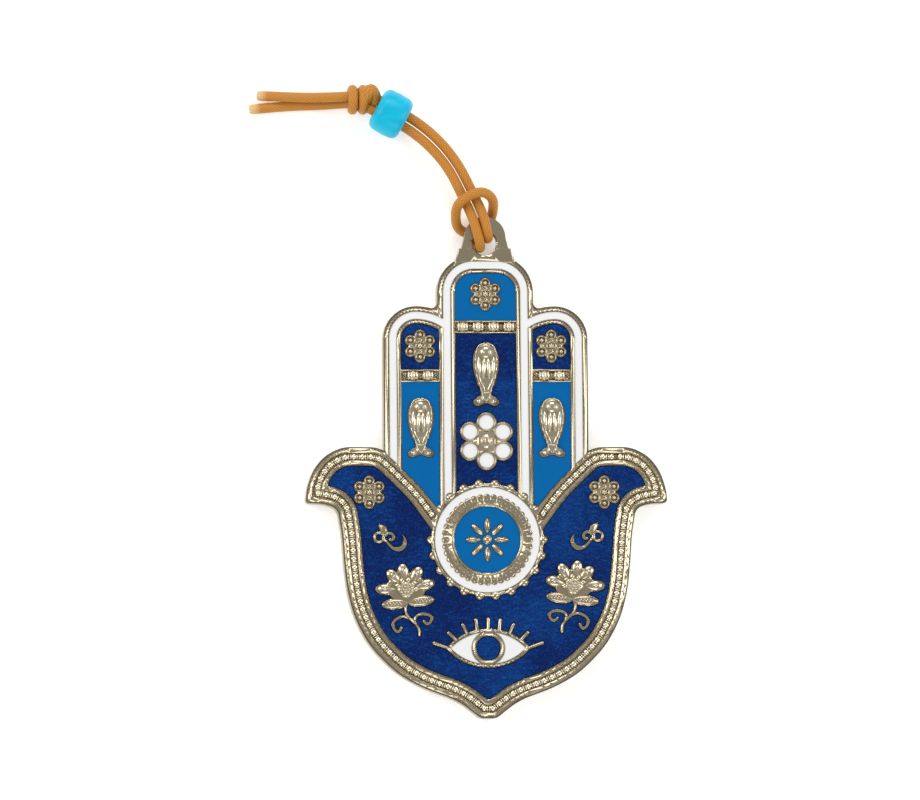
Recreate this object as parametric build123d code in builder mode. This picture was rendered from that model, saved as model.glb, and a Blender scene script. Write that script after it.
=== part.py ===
from build123d import *

import math
import os

# A hamsa hand ornament that lies on its back, fingers towards +Y and its enamelled front towards +Z.
# The origin is at the middle of the hand's back, without the cord. All sizes are in millimetres.

# Driving dimensions of the hand, its heights counted from the medallion's centre
hand_width = 72.6
palm_drop = 35.6
middle_finger_rise = 56.9
side_finger_rise = 46.8
plate_thickness = 4.0
edge_step = 0.3
middle_finger_radius = 7.2
side_finger_radius = 6.5
side_crown_radius = 12.0
side_crown_turn = 50.0
finger_notch_radius = 1.2
thumb_tip_radius = 0.7

# Driving dimensions of the enamel cells and of the metal between them
enamel_depth = 1.1
enamel_dip = 0.12
wall_width = 0.8
finger_rim_width = 1.05
stripe_width = 1.6
middle_panel_width = 12.3
side_panel_width = 7.7
bar_height = 2.5
middle_bar_drop = 13.0
side_bar_drop = 12.7

# Driving dimensions of the beaded border round the palm
border_width = 3.7
thin_rim_width = 0.4
rail_width = 0.95
groove_width = 1.6
groove_depth = 0.4
border_bead_diameter = 1.24
border_bead_pitch = 1.7

# Driving dimensions of the medallion
centre_disc_diameter = 13.4
scallop_ring_diameter = 17.4
scallop_radius = 0.55
scallop_inset = 0.18
scallop_count = 40
white_ring_diameter = 21.2
gear_ring_diameter = 22.6
gear_tooth_radius = 0.8
gear_tooth_count = 22
star_petal_length = 2.9
star_petal_width = 1.15
star_radius = 2.85
star_centre_diameter = 1.9
star_petal_count = 8

# Driving dimensions of the small raised ornaments
rosette_ring_radius = 2.24
rosette_petal_diameter = 2.2
rosette_petal_count = 6
rosette_dome_diameter = 1.1
rosette_dome_height = 0.4
middle_rosette_drop = 7.7
side_rosette_drop = 8.0
fish_width = 5.2
middle_fish_length = 12.6
side_fish_length = 11.8
middle_fish_drop = 2.0
side_fish_drop = 3.3
fish_ledge = 0.45
relief_height = 0.3
flower_rise = 19.7
flower_ring_radius = 3.8
flower_dot_diameter = 3.12
flower_rim_width = 0.44
flower_boss_width = 3.2
flower_boss_height = 3.8
lotus_reach = 6.3
lotus_petal_width = 2.3
lotus_leaf_width = 2.1
sprig_span = 5.5
stroke_width = 0.5
bar_bead_length = 2.3
bar_bead_width = 1.9
bar_bead_pitch = 3.1

# Driving dimensions of the eye
eye_width = 17.0
eye_height = 7.8
eyelid_width = 0.65
iris_ring_width = 0.82
lash_width = 0.65

# Driving dimensions of the eyelet
eyelet_rise = 59.4
eyelet_bore = 4.7
eyelet_head_radius = 4.15
eyelet_head_offset = 1.2
eyelet_neck_width = 9.4
eyelet_shoulder_width = 10.4
eyelet_base_width = 11.8
eyelet_shoulder_drop = 1.0
eyelet_thickness = 1.6
eyelet_chamfer = 0.25

# Driving dimensions of the bead on the cord, and of the cord
bead_diameter = 9.0
bead_length = 6.4
bead_end_diameter = 8.4
bead_bore = 5.0
bead_round = 1.5
bead_bore_round = 0.15
cord_diameter = 2.0
knot_wrap_diameter = 6.1
knot_core_diameter = 4.6
knot_neck_diameter = 3.9

# Overrun of the tools that cut or join
overrun = 0.05

# The largest share of a run that the arc at one of its corners may take
corner_share = 0.45

# Corners of the palm and thumb on the +X side before they are rounded, from inside the medallion round the
# thumb's tip to the palm's tip, in shares of half the hand's width and of the palm's drop
thumb_top_shares = (
    (0.231, 0.128), (0.342, 0.287), (0.474, 0.421), (0.578, 0.520),
    (0.800, 0.522), (0.897, 0.471), (0.960, 0.389), (0.994, 0.285),
)
thumb_tip_share = (1.000, 0.207)
palm_side_shares = (
    (0.905, 0.205), (0.825, 0.178), (0.800, 0.028), (0.791, -0.126), (0.775, -0.280), (0.736, -0.435),
    (0.652, -0.598), (0.507, -0.746), (0.371, -0.826), (0.164, -0.903), (0.044, -1.000), (0.000, -1.000),
)

# Places on the palm, in the same shares
rosette_place_share = (0.650, 0.267)
left_lotus_share = (-0.4435, -0.360)
right_lotus_share = (0.471, -0.343)
left_sprig_share = (-0.598, 0.014)
right_sprig_share = (0.612, 0.020)
eye_drop_share = 0.608

# Half the fish's outline from the head down, in shares of half its width and of its length
fish_body_shares = (
    (0.0, 0.0), (0.60, -0.045), (0.96, -0.20), (1.0, -0.33), (0.88, -0.50), (0.58, -0.69), (0.40, -0.81),
)
fish_tail_shares = (
    (0.40, -0.81), (0.62, -0.875), (1.0, -0.92), (0.94, -0.975), (0.55, -1.0), (0.22, -0.968),
    (0.0, -0.955),
)
fish_neck_share = (-0.2, -1.0)

# Lotus on the palm: petals by angle and share of the reach, then its leaves' tips and strokes, all in
# shares of the reach from the stem's top
lotus_petal_shares = ((80.0, 0.82), (45.0, 0.86), (123.0, 0.84), (1.0, 0.99), (166.0, 0.92))
lotus_petal_root_share = 0.30
lotus_heart_share = (0.03, 0.46)
lotus_disc_share = (0.03, 0.53)
lotus_disc_reach_share = (0.62, 0.48)
lotus_leaf_root_share = (-0.02, 0.04)
lotus_leaf_tip_shares = ((0.82, -0.03), (-0.85, 0.15))
lotus_stroke_shares = (
    ((0.0, 0.05), (-0.016, -0.397), (-0.222, -0.603), (-0.365, -0.984)),
    ((0.0, -0.44), (0.286, -0.434), (0.476, -0.667), (0.333, -0.873), (0.206, -0.746)),
    ((-0.222, -0.560), (-0.524, -0.317), (-0.762, -0.444), (-0.667, -0.619), (-0.508, -0.540)),
)

# Sprig on the palm in shares of its span: a ring, two curls, a crescent on the long curl and a leaf
sprig_ring_share = 0.17
sprig_stroke_shares = (
    ((-0.14, 0.0), (-0.25, -0.12), (-0.40, -0.30), (-0.60, -0.42), (-0.80, -0.42), (-0.95, -0.25)),
    ((-0.24, 0.06), (-0.38, 0.15), (-0.51, 0.08), (-0.52, -0.05), (-0.40, -0.08)),
)
sprig_crescent_outer_shares = (
    (-0.39, -0.34), (-0.60, -0.49), (-0.82, -0.48), (-0.97, -0.33), (-0.99, -0.12), (-0.84, 0.09),
)
sprig_crescent_inner_shares = (
    (-0.84, 0.09), (-0.89, -0.15), (-0.78, -0.32), (-0.60, -0.37), (-0.39, -0.34),
)
sprig_leaf_shares = ((-0.13, 0.10), (0.02, 0.40), (-0.01, 0.51), (-0.27, 0.38), (-0.32, 0.17))

# Lashes of the eye, base and tip in shares of half the eye's width
lash_shares = (
    ((0.0, 0.42), (0.0, 0.685)),
    ((0.24, 0.39), (0.294, 0.659)),
    ((0.494, 0.335), (0.600, 0.545)),
    ((0.765, 0.20), (0.935, 0.355)),
    ((0.97, 0.01), (1.275, 0.124)),
)

# The cord's route from the end of one tail to the end of the other, counted from the eyelet's centre.
# It runs through the knot and the bead to the eyelet, round it in a lark's head, and back beside itself.
lower_tail_points = [(-46.6, 27.1, 1.1), (-39.6, 27.85, 1.1), (-33.0, 28.0, 1.3), (-27.0, 28.3, 2.6)]
inner_leg_points = [
    (-25.0, 27.9, 4.5), (-19.15, 24.95, 4.5), (-14.45, 22.15, 4.5), (-10.35, 18.55, 4.5), (-7.1, 14.4, 4.5),
    (-4.8, 9.8, 4.75),
]
hitch_points = [
    (-2.45, 5.05, 5.15), (-0.89, -0.79, 5.15), (-0.89, -0.79, 1.15), (-2.20, 2.00, 1.15),
    (-4.40, 2.60, 1.15), (-5.80, 4.50, 2.60), (-5.90, 7.90, 7.10), (-1.20, 10.40, 7.25),
    (1.75, 9.00, 5.40), (1.95, 6.30, 1.40), (0.90, 3.60, 1.15), (0.66, 1.06, 1.15),
    (0.66, 1.06, 5.15), (-0.40, 5.70, 5.15),
]
outer_leg_points = [
    (-2.7, 10.6, 4.75), (-5.1, 15.6, 4.5), (-8.6, 20.2, 4.5), (-13.05, 24.1, 4.5), (-18.15, 27.1, 4.5),
    (-23.7, 30.1, 4.5),
]
upper_tail_points = [(-26.8, 29.4, 4.6), (-33.2, 29.2, 3.95), (-39.2, 29.4, 2.85), (-45.0, 29.9, 1.15)]

# The bead's seat on the cord and the knot beside it, counted from the eyelet's centre
bead_place = (-18.72, 25.90, bead_diameter / 2)
bead_axis = (-0.880, 0.475, 0.0)
knot_place = (-25.3, 28.85, 3.9)
knot_wrap_spread = 2.35
knot_neck_place = (-21.55, 27.93, 4.3)

# Sizes worked out from the driving dimensions
half_width = hand_width / 2
panel_edge = middle_panel_width / 2
stripe_inner = panel_edge + wall_width
stripe_outer = stripe_inner + stripe_width
side_panel_inner = stripe_outer + wall_width
side_panel_outer = side_panel_inner + side_panel_width
middle_half_width = stripe_outer + finger_rim_width
side_half_width = side_panel_outer + wall_width + stripe_width + finger_rim_width
panel_inset = finger_rim_width + stripe_width + wall_width
side_panel_centre = (side_panel_inner + side_panel_outer) / 2
middle_bar_top = middle_finger_rise - middle_bar_drop
side_bar_top = side_finger_rise - side_bar_drop
groove_inset = border_width - rail_width - groove_width
eyelet_head_y = eyelet_rise + eyelet_head_offset
hand_top = eyelet_head_y + eyelet_head_radius
medallion_y = (palm_drop - hand_top) / 2
eyelet_y = medallion_y + eyelet_rise
floor_z = plate_thickness - enamel_depth
enamel_thickness = enamel_depth - enamel_dip
eyelet_back_z = plate_thickness - eyelet_thickness
iris_ring_radius = eye_height / 2 - eyelid_width + overrun
iris_radius = iris_ring_radius - iris_ring_width
eye_y = -eye_drop_share * palm_drop

# Planes of the hand, all with the medallion's centre as their origin
back_plane = Plane((0, medallion_y, 0))
floor_plane = Plane((0, medallion_y, floor_z))
face_plane = Plane((0, medallion_y, plate_thickness))
eyelet_plane = Plane((0, medallion_y, eyelet_back_z))
groove_plane = Plane((0, medallion_y, plate_thickness - groove_depth))


def scaled(shares, width, height):
    """The points that a table of shares gives on a form of this width and height."""
    return [(x * width, y * height) for x, y in shares]


def palm_place(share):
    """A place on the palm from its shares of half the hand's width and the palm's drop."""
    return (share[0] * half_width, share[1] * palm_drop)


def moved_outline(shape, amount, joint=Kind.TANGENT):
    """The sketch with its outline moved out by amount, or in where amount is negative."""
    with BuildSketch() as result:
        add(shape)
        offset(amount=amount, kind=joint)
    return result.sketch


def corner_radii(points):
    """The radius at each inner point of a route: as large as its two runs allow."""
    radii = []
    for before, here, after in zip(points, points[1:], points[2:]):
        half_turn = math.radians((here - before).get_angle(after - here)) / 2
        shorter_run = min((here - before).length, (after - here).length)
        radii.append(corner_share * shorter_run / math.tan(half_turn))
    return radii


def stroke(points, width):
    """A raised line of even width along a smooth curve through the points, with round ends."""
    with BuildSketch() as result:
        with BuildLine() as line:
            if len(points) > 2:
                Spline(*points)
            else:
                Line(*points)
        trace(line.line, width)
        with Locations(points[0], points[-1]):
            Circle(width / 2)
    return result.sketch


def polar_places(count, radius, start=0.0):
    """Places spaced evenly round a circle."""
    turns = [math.radians(start + 360 * i / count) for i in range(count)]
    return [(radius * math.cos(turn), radius * math.sin(turn)) for turn in turns]


def fish_outline(width, length):
    """A fish of this width and length, seen from above, head up, its head's top at the origin."""
    with BuildSketch() as result:
        with BuildLine():
            body = Spline(*scaled(fish_body_shares, width / 2, length), tangents=[(1, 0), fish_neck_share])
            tail = Spline(*scaled(fish_tail_shares, width / 2, length))
            Line(tail @ 1, body @ 0)
        make_face()
        mirror(about=Plane.YZ)
    return result.sketch


def rosette_outline():
    """The lobed foot under a rosette's domes."""
    with BuildSketch() as result:
        Circle(rosette_ring_radius)
        with Locations(*polar_places(rosette_petal_count, rosette_ring_radius, 90.0)):
            Circle(rosette_petal_diameter / 2)
    return result.sketch


def lotus_outline():
    """A lotus that leans outwards, its stem's top at the origin and its outer side towards +X."""
    heart = (lotus_heart_share[0] * lotus_reach, lotus_heart_share[1] * lotus_reach)
    root = lotus_petal_root_share * lotus_reach
    leaf_root = Vector(*scaled([lotus_leaf_root_share], lotus_reach, lotus_reach)[0])
    with BuildSketch() as result:
        with Locations(scaled([lotus_disc_share], lotus_reach, lotus_reach)[0]):
            Ellipse(*scaled([lotus_disc_reach_share], lotus_reach, lotus_reach)[0])
        for angle, share in lotus_petal_shares:
            tip = share * lotus_reach
            middle = (root + tip) / 2
            turn = math.radians(angle)
            place = (heart[0] + middle * math.cos(turn), heart[1] + middle * math.sin(turn))
            with Locations(place):
                Ellipse((tip - root) / 2, lotus_petal_width / 2, rotation=angle)
        for leaf_tip in scaled(lotus_leaf_tip_shares, lotus_reach, lotus_reach):
            leaf = Vector(*leaf_tip) - leaf_root
            leaf_turn = math.degrees(math.atan2(leaf.Y, leaf.X))
            with Locations(leaf_root + leaf / 2):
                Ellipse(leaf.length / 2, lotus_leaf_width / 2, rotation=leaf_turn)
        for points in lotus_stroke_shares:
            add(stroke(scaled(points, lotus_reach, lotus_reach), stroke_width))
    return result.sketch


def sprig_outline():
    """A curled sprig with its ring at the origin and its curl towards -X."""
    ring = sprig_ring_share * sprig_span
    with BuildSketch() as result:
        Circle(ring + stroke_width / 2)
        Circle(ring - stroke_width / 2, mode=Mode.SUBTRACT)
        for points in sprig_stroke_shares:
            add(stroke(scaled(points, sprig_span, sprig_span), stroke_width))
        with BuildLine():
            Spline(*scaled(sprig_crescent_outer_shares, sprig_span, sprig_span))
            Spline(*scaled(sprig_crescent_inner_shares, sprig_span, sprig_span))
        make_face()
        with BuildLine():
            Polyline(*scaled(sprig_leaf_shares, sprig_span, sprig_span), close=True)
        make_face()
    return result.sketch


def both_sides(outline, left_share, right_share):
    """An ornament drawn for the +X side at its place there, and mirrored at its place on the -X side."""
    with BuildSketch() as result:
        with Locations(palm_place(right_share)):
            add(outline)
        with Locations(palm_place(left_share)):
            add(mirror(outline, about=Plane.YZ, mode=Mode.PRIVATE))
    return result.sketch


# Outlines of the hand
with BuildSketch() as palm_blade:
    corners = [Vector(palm_place(s)) for s in (*thumb_top_shares, thumb_tip_share, *palm_side_shares)]
    radii = corner_radii(corners)
    radii[len(thumb_top_shares) - 1] = thumb_tip_radius
    with BuildLine():
        FilletPolyline(*corners, radius=radii)
        Polyline(corners[-1], (0, 0), corners[0])
    make_face()
    mirror(about=Plane.YZ)

with BuildSketch() as middle_finger:
    with Locations((0, middle_finger_rise / 2)):
        Rectangle(2 * middle_half_width, middle_finger_rise)
    fillet(middle_finger.vertices().group_by(Axis.Y)[-1], middle_finger_radius)

with BuildSketch() as side_finger:
    crown_x = side_half_width - side_finger_radius
    with BuildLine():
        corner = CenterArc((crown_x, side_finger_rise - side_finger_radius), side_finger_radius, 0, 90)
        crown_centre = (crown_x, side_finger_rise - side_crown_radius)
        crown = CenterArc(crown_centre, side_crown_radius, 90, side_crown_turn)
        Polyline(crown @ 1, ((crown @ 1).X, 0), (side_half_width, 0), corner @ 0)
    make_face()
side_fingers = (side_finger.sketch, mirror(side_finger.sketch, about=Plane.YZ))

with BuildSketch() as gear_outline:
    Circle(gear_ring_diameter / 2)
    with Locations(*polar_places(gear_tooth_count, gear_ring_diameter / 2, 90 + 180 / gear_tooth_count)):
        Circle(gear_tooth_radius)

with BuildSketch() as hand_outline:
    add(middle_finger.sketch)
    add(side_fingers)
    finger_tops = hand_outline.vertices().filter_by(lambda v: middle_bar_top / 2 < v.Y < side_finger_rise)
    notches = finger_tops.filter_by(lambda v: abs(v.X) < side_panel_inner + wall_width)
    fillet(notches, finger_notch_radius)
    add(palm_blade.sketch)
    add(gear_outline.sketch)

with BuildSketch() as eyelet_outline:
    with Locations((0, eyelet_head_y)):
        Circle(eyelet_head_radius)
    with BuildLine():
        shoulder_y = eyelet_rise - eyelet_shoulder_drop
        base_y = middle_finger_rise - finger_rim_width
        Polyline(
            (0, base_y), (eyelet_base_width / 2, base_y), (eyelet_shoulder_width / 2, shoulder_y),
            (eyelet_neck_width / 2, shoulder_y), (eyelet_head_radius, eyelet_head_y), (0, eyelet_head_y),
            close=True,
        )
    make_face()
    mirror(about=Plane.YZ)

# The metal that bounds the finger cells from below
with BuildSketch() as below_fingers:
    add(moved_outline(palm_blade.sketch, -thin_rim_width))
    add(gear_outline.sketch)

# Raised ornaments that stand in the cells
with BuildSketch() as flower_outline:
    Circle(flower_ring_radius - flower_dot_diameter / 2 + flower_rim_width)
    with Locations(*polar_places(rosette_petal_count, flower_ring_radius, 90.0)):
        Circle(flower_dot_diameter / 2 + flower_rim_width)

with BuildSketch() as flower_dots:
    with Locations(*polar_places(rosette_petal_count, flower_ring_radius, 90.0)):
        Circle(flower_dot_diameter / 2)

with BuildSketch() as eye_outline:
    with BuildLine():
        ThreePointArc((-eye_width / 2, 0), (0, eye_height / 2), (eye_width / 2, 0))
        ThreePointArc((eye_width / 2, 0), (0, -eye_height / 2), (-eye_width / 2, 0))
    make_face()

with BuildSketch() as lashes:
    for base_share, tip_share in lash_shares:
        for side in (1, -1) if tip_share[0] else (1,):
            ends = scaled((base_share, tip_share), side * eye_width / 2, eye_width / 2)
            add(stroke(ends, lash_width))

with BuildSketch() as palm_ornaments:
    left_rosette_share = (-rosette_place_share[0], rosette_place_share[1])
    add(both_sides(rosette_outline(), left_rosette_share, rosette_place_share))
    add(both_sides(lotus_outline(), left_lotus_share, right_lotus_share))
    add(both_sides(sprig_outline(), left_sprig_share, right_sprig_share))
    with Locations((0, eye_y)):
        add(eye_outline.sketch)
        add(lashes.sketch)

# Places on the fingers
middle_rosette_place = (0, middle_finger_rise - middle_rosette_drop)
side_rosette_place = (side_panel_centre, side_finger_rise - side_rosette_drop)
middle_fish_place = (0, middle_bar_top - bar_height - middle_fish_drop)
side_fish_place = (side_panel_centre, side_bar_top - bar_height - side_fish_drop)
flower_place = (0, flower_rise)

# Enamel cells, each drawn once and used for the pocket in the casting and for the enamel in it
with BuildSketch() as white_border_cell:
    for finger in side_fingers:
        add(moved_outline(finger, -finger_rim_width))
    for finger in side_fingers:
        add(moved_outline(finger, -finger_rim_width - stripe_width), mode=Mode.SUBTRACT)
    with Locations((0, middle_finger_rise / 2)):
        Rectangle(stripe_inner + stripe_outer, middle_finger_rise, mode=Mode.SUBTRACT)
    add(moved_outline(middle_finger.sketch, -finger_rim_width))
    add(moved_outline(middle_finger.sketch, -finger_rim_width - stripe_width), mode=Mode.SUBTRACT)
    add(below_fingers.sketch, mode=Mode.SUBTRACT)

with BuildSketch() as middle_top_cell:
    add(moved_outline(middle_finger.sketch, -panel_inset))
    with Locations((0, middle_bar_top / 2)):
        Rectangle(2 * middle_half_width, middle_bar_top, mode=Mode.SUBTRACT)
    with Locations(middle_rosette_place):
        add(rosette_outline(), mode=Mode.SUBTRACT)

with BuildSketch() as middle_long_cell:
    with Locations((0, (middle_bar_top - bar_height) / 2)):
        Rectangle(middle_panel_width, middle_bar_top - bar_height)
    add(gear_outline.sketch, mode=Mode.SUBTRACT)
    with Locations(middle_fish_place):
        add(fish_outline(fish_width, middle_fish_length), mode=Mode.SUBTRACT)
    with Locations(flower_place):
        add(flower_outline.sketch, mode=Mode.SUBTRACT)

with BuildSketch() as right_top_cell:
    add(moved_outline(side_finger.sketch, -panel_inset))
    with Locations((side_panel_centre, (side_bar_top + side_finger_rise) / 2)):
        Rectangle(side_panel_width, side_finger_rise - side_bar_top, mode=Mode.INTERSECT)
    with Locations(side_rosette_place):
        add(rosette_outline(), mode=Mode.SUBTRACT)

with BuildSketch() as right_lower_cell:
    with Locations((side_panel_centre, (side_bar_top - bar_height) / 2)):
        Rectangle(side_panel_width, side_bar_top - bar_height)
    add(below_fingers.sketch, mode=Mode.SUBTRACT)
    with Locations(side_fish_place):
        add(fish_outline(fish_width, side_fish_length), mode=Mode.SUBTRACT)

with BuildSketch() as palm_cell:
    add(moved_outline(palm_blade.sketch, -border_width))
    add(gear_outline.sketch, mode=Mode.SUBTRACT)
    add(palm_ornaments.sketch, mode=Mode.SUBTRACT)

with BuildSketch() as white_ring_cell:
    Circle(white_ring_diameter / 2)
    Circle(scallop_ring_diameter / 2, mode=Mode.SUBTRACT)
    with Locations(*polar_places(scallop_count, scallop_ring_diameter / 2 - scallop_inset)):
        Circle(scallop_radius, mode=Mode.SUBTRACT)

with BuildSketch() as centre_disc_cell:
    Circle(centre_disc_diameter / 2)
    Circle(star_centre_diameter / 2, mode=Mode.SUBTRACT)
    with PolarLocations(star_radius, star_petal_count):
        Ellipse(star_petal_length / 2, star_petal_width / 2, mode=Mode.SUBTRACT)

with BuildSketch() as eye_white_cell:
    with Locations((0, eye_y)):
        add(moved_outline(eye_outline.sketch, -eyelid_width))
        Circle(iris_ring_radius, mode=Mode.SUBTRACT)

with BuildSketch() as iris_cell:
    with Locations((0, eye_y)):
        Circle(iris_radius)

with BuildSketch() as flower_dots_cell:
    with Locations(flower_place):
        add(flower_dots.sketch)

eye_whites = eye_white_cell.faces().sort_by(Axis.X)
enamel_cells = {
    "enamel_white_finger_border": white_border_cell.sketch,
    "enamel_middle_top_panel": middle_top_cell.sketch,
    "enamel_middle_long_panel": middle_long_cell.sketch,
    "enamel_left_top_panel": mirror(right_top_cell.sketch, about=Plane.YZ),
    "enamel_right_top_panel": right_top_cell.sketch,
    "enamel_left_lower_panel": mirror(right_lower_cell.sketch, about=Plane.YZ),
    "enamel_right_lower_panel": right_lower_cell.sketch,
    "enamel_palm": palm_cell.sketch,
    "enamel_white_ring": white_ring_cell.sketch,
    "enamel_centre_disc": centre_disc_cell.sketch,
    "enamel_eye_white_left": eye_whites[0],
    "enamel_eye_white_right": eye_whites[-1],
    "enamel_iris": iris_cell.sketch,
    "enamel_flower_dots": flower_dots_cell.sketch,
}

# Solids that are repeated on the casting
with BuildPart() as rosette_dome:
    with BuildSketch(Plane.XZ):
        with BuildLine():
            dome_edge = rosette_dome_diameter / 2
            ThreePointArc((-dome_edge, 0), (0, rosette_dome_height), (dome_edge, 0))
            Polyline((dome_edge, 0), (dome_edge, -overrun), (-dome_edge, -overrun), (-dome_edge, 0))
        make_face()
        split(bisect_by=Plane.YZ)
    revolve(axis=Axis.Z)

with BuildPart() as border_bead:
    Sphere(border_bead_diameter / 2)

# Centre line of the beaded border, and the beads' places on it outside the medallion
border_line = moved_outline(palm_blade.sketch, -groove_inset - groove_width / 2).face().outer_wire()
border_bead_count = round(border_line.length / border_bead_pitch)
border_bead_places = [
    (point.X, point.Y)
    for point in (border_line.position_at(i / border_bead_count) for i in range(border_bead_count))
    if math.hypot(point.X, point.Y) > (gear_ring_diameter + border_bead_diameter) / 2
]

with BuildSketch() as border_groove:
    add(moved_outline(palm_blade.sketch, -groove_inset))
    add(moved_outline(palm_blade.sketch, -groove_inset - groove_width), mode=Mode.SUBTRACT)
    add(gear_outline.sketch, mode=Mode.SUBTRACT)

with BuildSketch() as bar_grooves:
    with Locations((0, middle_bar_top - bar_height / 2)):
        Rectangle(middle_panel_width, bar_bead_width)
    with Locations(*[(side * side_panel_centre, side_bar_top - bar_height / 2) for side in (-1, 1)]):
        Rectangle(side_panel_width, bar_bead_width)

with BuildSketch() as bar_beads:
    for centre_x, bar_top, width in (
        (0, middle_bar_top, middle_panel_width),
        (side_panel_centre, side_bar_top, side_panel_width),
        (-side_panel_centre, side_bar_top, side_panel_width),
    ):
        count = round(width / bar_bead_pitch)
        with Locations((centre_x, bar_top - bar_height / 2)):
            with GridLocations(bar_bead_pitch, bar_height, count, 1):
                Ellipse(bar_bead_length / 2, bar_bead_width / 2)

with BuildSketch() as low_relief:
    raised_width = fish_width - 2 * fish_ledge
    for (fish_x, fish_y), length in (
        (middle_fish_place, middle_fish_length),
        (side_fish_place, side_fish_length),
        ((-side_fish_place[0], side_fish_place[1]), side_fish_length),
    ):
        with Locations((fish_x, fish_y - fish_ledge)):
            add(fish_outline(raised_width, length - 2 * fish_ledge))
    with Locations(flower_place):
        Rectangle(flower_boss_width, flower_boss_height)

rosette_places = [
    middle_rosette_place,
    side_rosette_place,
    (-side_rosette_place[0], side_rosette_place[1]),
    palm_place(rosette_place_share),
    palm_place(left_rosette_share),
]
dome_places = [
    (x + petal_x, y + petal_y)
    for x, y in rosette_places
    for petal_x, petal_y in polar_places(rosette_petal_count, rosette_ring_radius, 90.0) + [(0, 0)]
]
lotus_dome_places = []
for share, side in ((right_lotus_share, 1), (left_lotus_share, -1)):
    base_x, base_y = palm_place(share)
    for angle, reach_share in lotus_petal_shares:
        reach = (reach_share - lotus_petal_root_share) * lotus_reach
        turn = math.radians(angle)
        across = lotus_heart_share[0] * lotus_reach + reach * math.cos(turn)
        along = lotus_heart_share[1] * lotus_reach + reach * math.sin(turn)
        lotus_dome_places.append((base_x + side * across, base_y + along))

with BuildPart() as hand_casting:
    with BuildSketch(back_plane):
        add(hand_outline.sketch)
    extrude(amount=plate_thickness - edge_step)
    with BuildSketch(back_plane):
        add(moved_outline(hand_outline.sketch, -edge_step, joint=Kind.ARC))
    extrude(amount=plate_thickness)
    with BuildSketch(eyelet_plane):
        add(eyelet_outline.sketch)
    extrude(amount=eyelet_thickness)
    with Locations((0, eyelet_y, plate_thickness)):
        CounterSinkHole(eyelet_bore / 2, eyelet_bore / 2 + eyelet_chamfer)
    with BuildSketch(floor_plane):
        for cell in enamel_cells.values():
            add(cell)
    extrude(amount=enamel_depth + overrun, mode=Mode.SUBTRACT)
    with BuildSketch(groove_plane):
        add(border_groove.sketch)
        add(bar_grooves.sketch)
    extrude(amount=groove_depth + overrun, mode=Mode.SUBTRACT)
    with BuildSketch(groove_plane):
        add(bar_beads.sketch)
    extrude(amount=groove_depth + relief_height)
    with BuildSketch(face_plane):
        add(low_relief.sketch)
    extrude(amount=relief_height)
    with Locations(face_plane):
        with Locations(*dome_places, *lotus_dome_places):
            add(rosette_dome.part)
    with Locations(groove_plane):
        with Locations(*border_bead_places):
            add(border_bead.part)
hand_casting.part.label = "hand_casting"

parts = {"hand_casting": hand_casting.part}

# Enamel, poured into each cell and a little below its walls
for name, cell in enamel_cells.items():
    with BuildPart() as enamel:
        with BuildSketch(floor_plane):
            add(cell)
        extrude(amount=enamel_thickness)
    parts[name] = enamel.part


def on_cord(points):
    """Points of the cord's route, counted from the eyelet, in the ornament's own frame."""
    return [Vector(x, y + eyelet_y, z) for x, y, z in points]


# The hitch shares its first and last run with the two legs, which end half way along it
inner_seam = (on_cord(inner_leg_points)[-1] + on_cord(hitch_points)[0]) / 2
outer_seam = (on_cord(hitch_points)[-1] + on_cord(outer_leg_points)[0]) / 2
cord_routes = {
    "cord_tail_lower": on_cord(lower_tail_points),
    "cord_leg_inner": on_cord(inner_leg_points) + [inner_seam],
    "cord_hitch": [inner_seam] + on_cord(hitch_points) + [outer_seam],
    "cord_leg_outer": [outer_seam] + on_cord(outer_leg_points),
    "cord_tail_upper": on_cord(upper_tail_points),
}
for name, route in cord_routes.items():
    radii = corner_radii(route)
    with BuildPart() as cord:
        with BuildLine() as path:
            FilletPolyline(*route, radius=radii)
        with BuildSketch(Plane(path.wire() @ 0, z_dir=path.wire() % 0)):
            Circle(cord_diameter / 2)
        sweep(path=path.line)
    expected = math.pi * cord_diameter**2 / 4 * path.wire().length
    print(name, "radii", [round(r, 2) for r in radii], "length", round(path.wire().length, 1))
    print(name, "volume", round(cord.part.volume, 2), "section times length", round(expected, 2))
    parts[name] = cord.part

# The knot: two wraps of cord side by side round its core, and a neck that leans towards the bead
knot_centre = on_cord([knot_place])[0]
neck_end = on_cord([knot_neck_place])[0]
wrap_radius = cord_diameter / 2
with BuildPart() as cord_knot:
    with BuildSketch(Plane(knot_centre, x_dir=(1, 0, 0), z_dir=(0, 0, 1))):
        with BuildLine():
            end_x = (knot_wrap_spread + cord_diameter) / 2
            core_y = knot_core_diameter / 2
            Polyline((-end_x, 0), (end_x, 0), (end_x, core_y), (-end_x, core_y), close=True)
        make_face()
        wrap_y = knot_wrap_diameter / 2 - wrap_radius
        with Locations((-knot_wrap_spread / 2, wrap_y), (knot_wrap_spread / 2, wrap_y)):
            Circle(wrap_radius)
    revolve(axis=Axis(knot_centre, (1, 0, 0)))
    neck_start = knot_centre + Vector(knot_wrap_spread / 2, 0, 0)
    with BuildSketch(Plane(neck_start, z_dir=neck_end - neck_start)):
        Circle(knot_core_diameter / 2)
    with BuildSketch(Plane(neck_end, z_dir=-Vector(*bead_axis))):
        Circle(knot_neck_diameter / 2)
    loft()
parts["cord_knot"] = cord_knot.part

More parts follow.
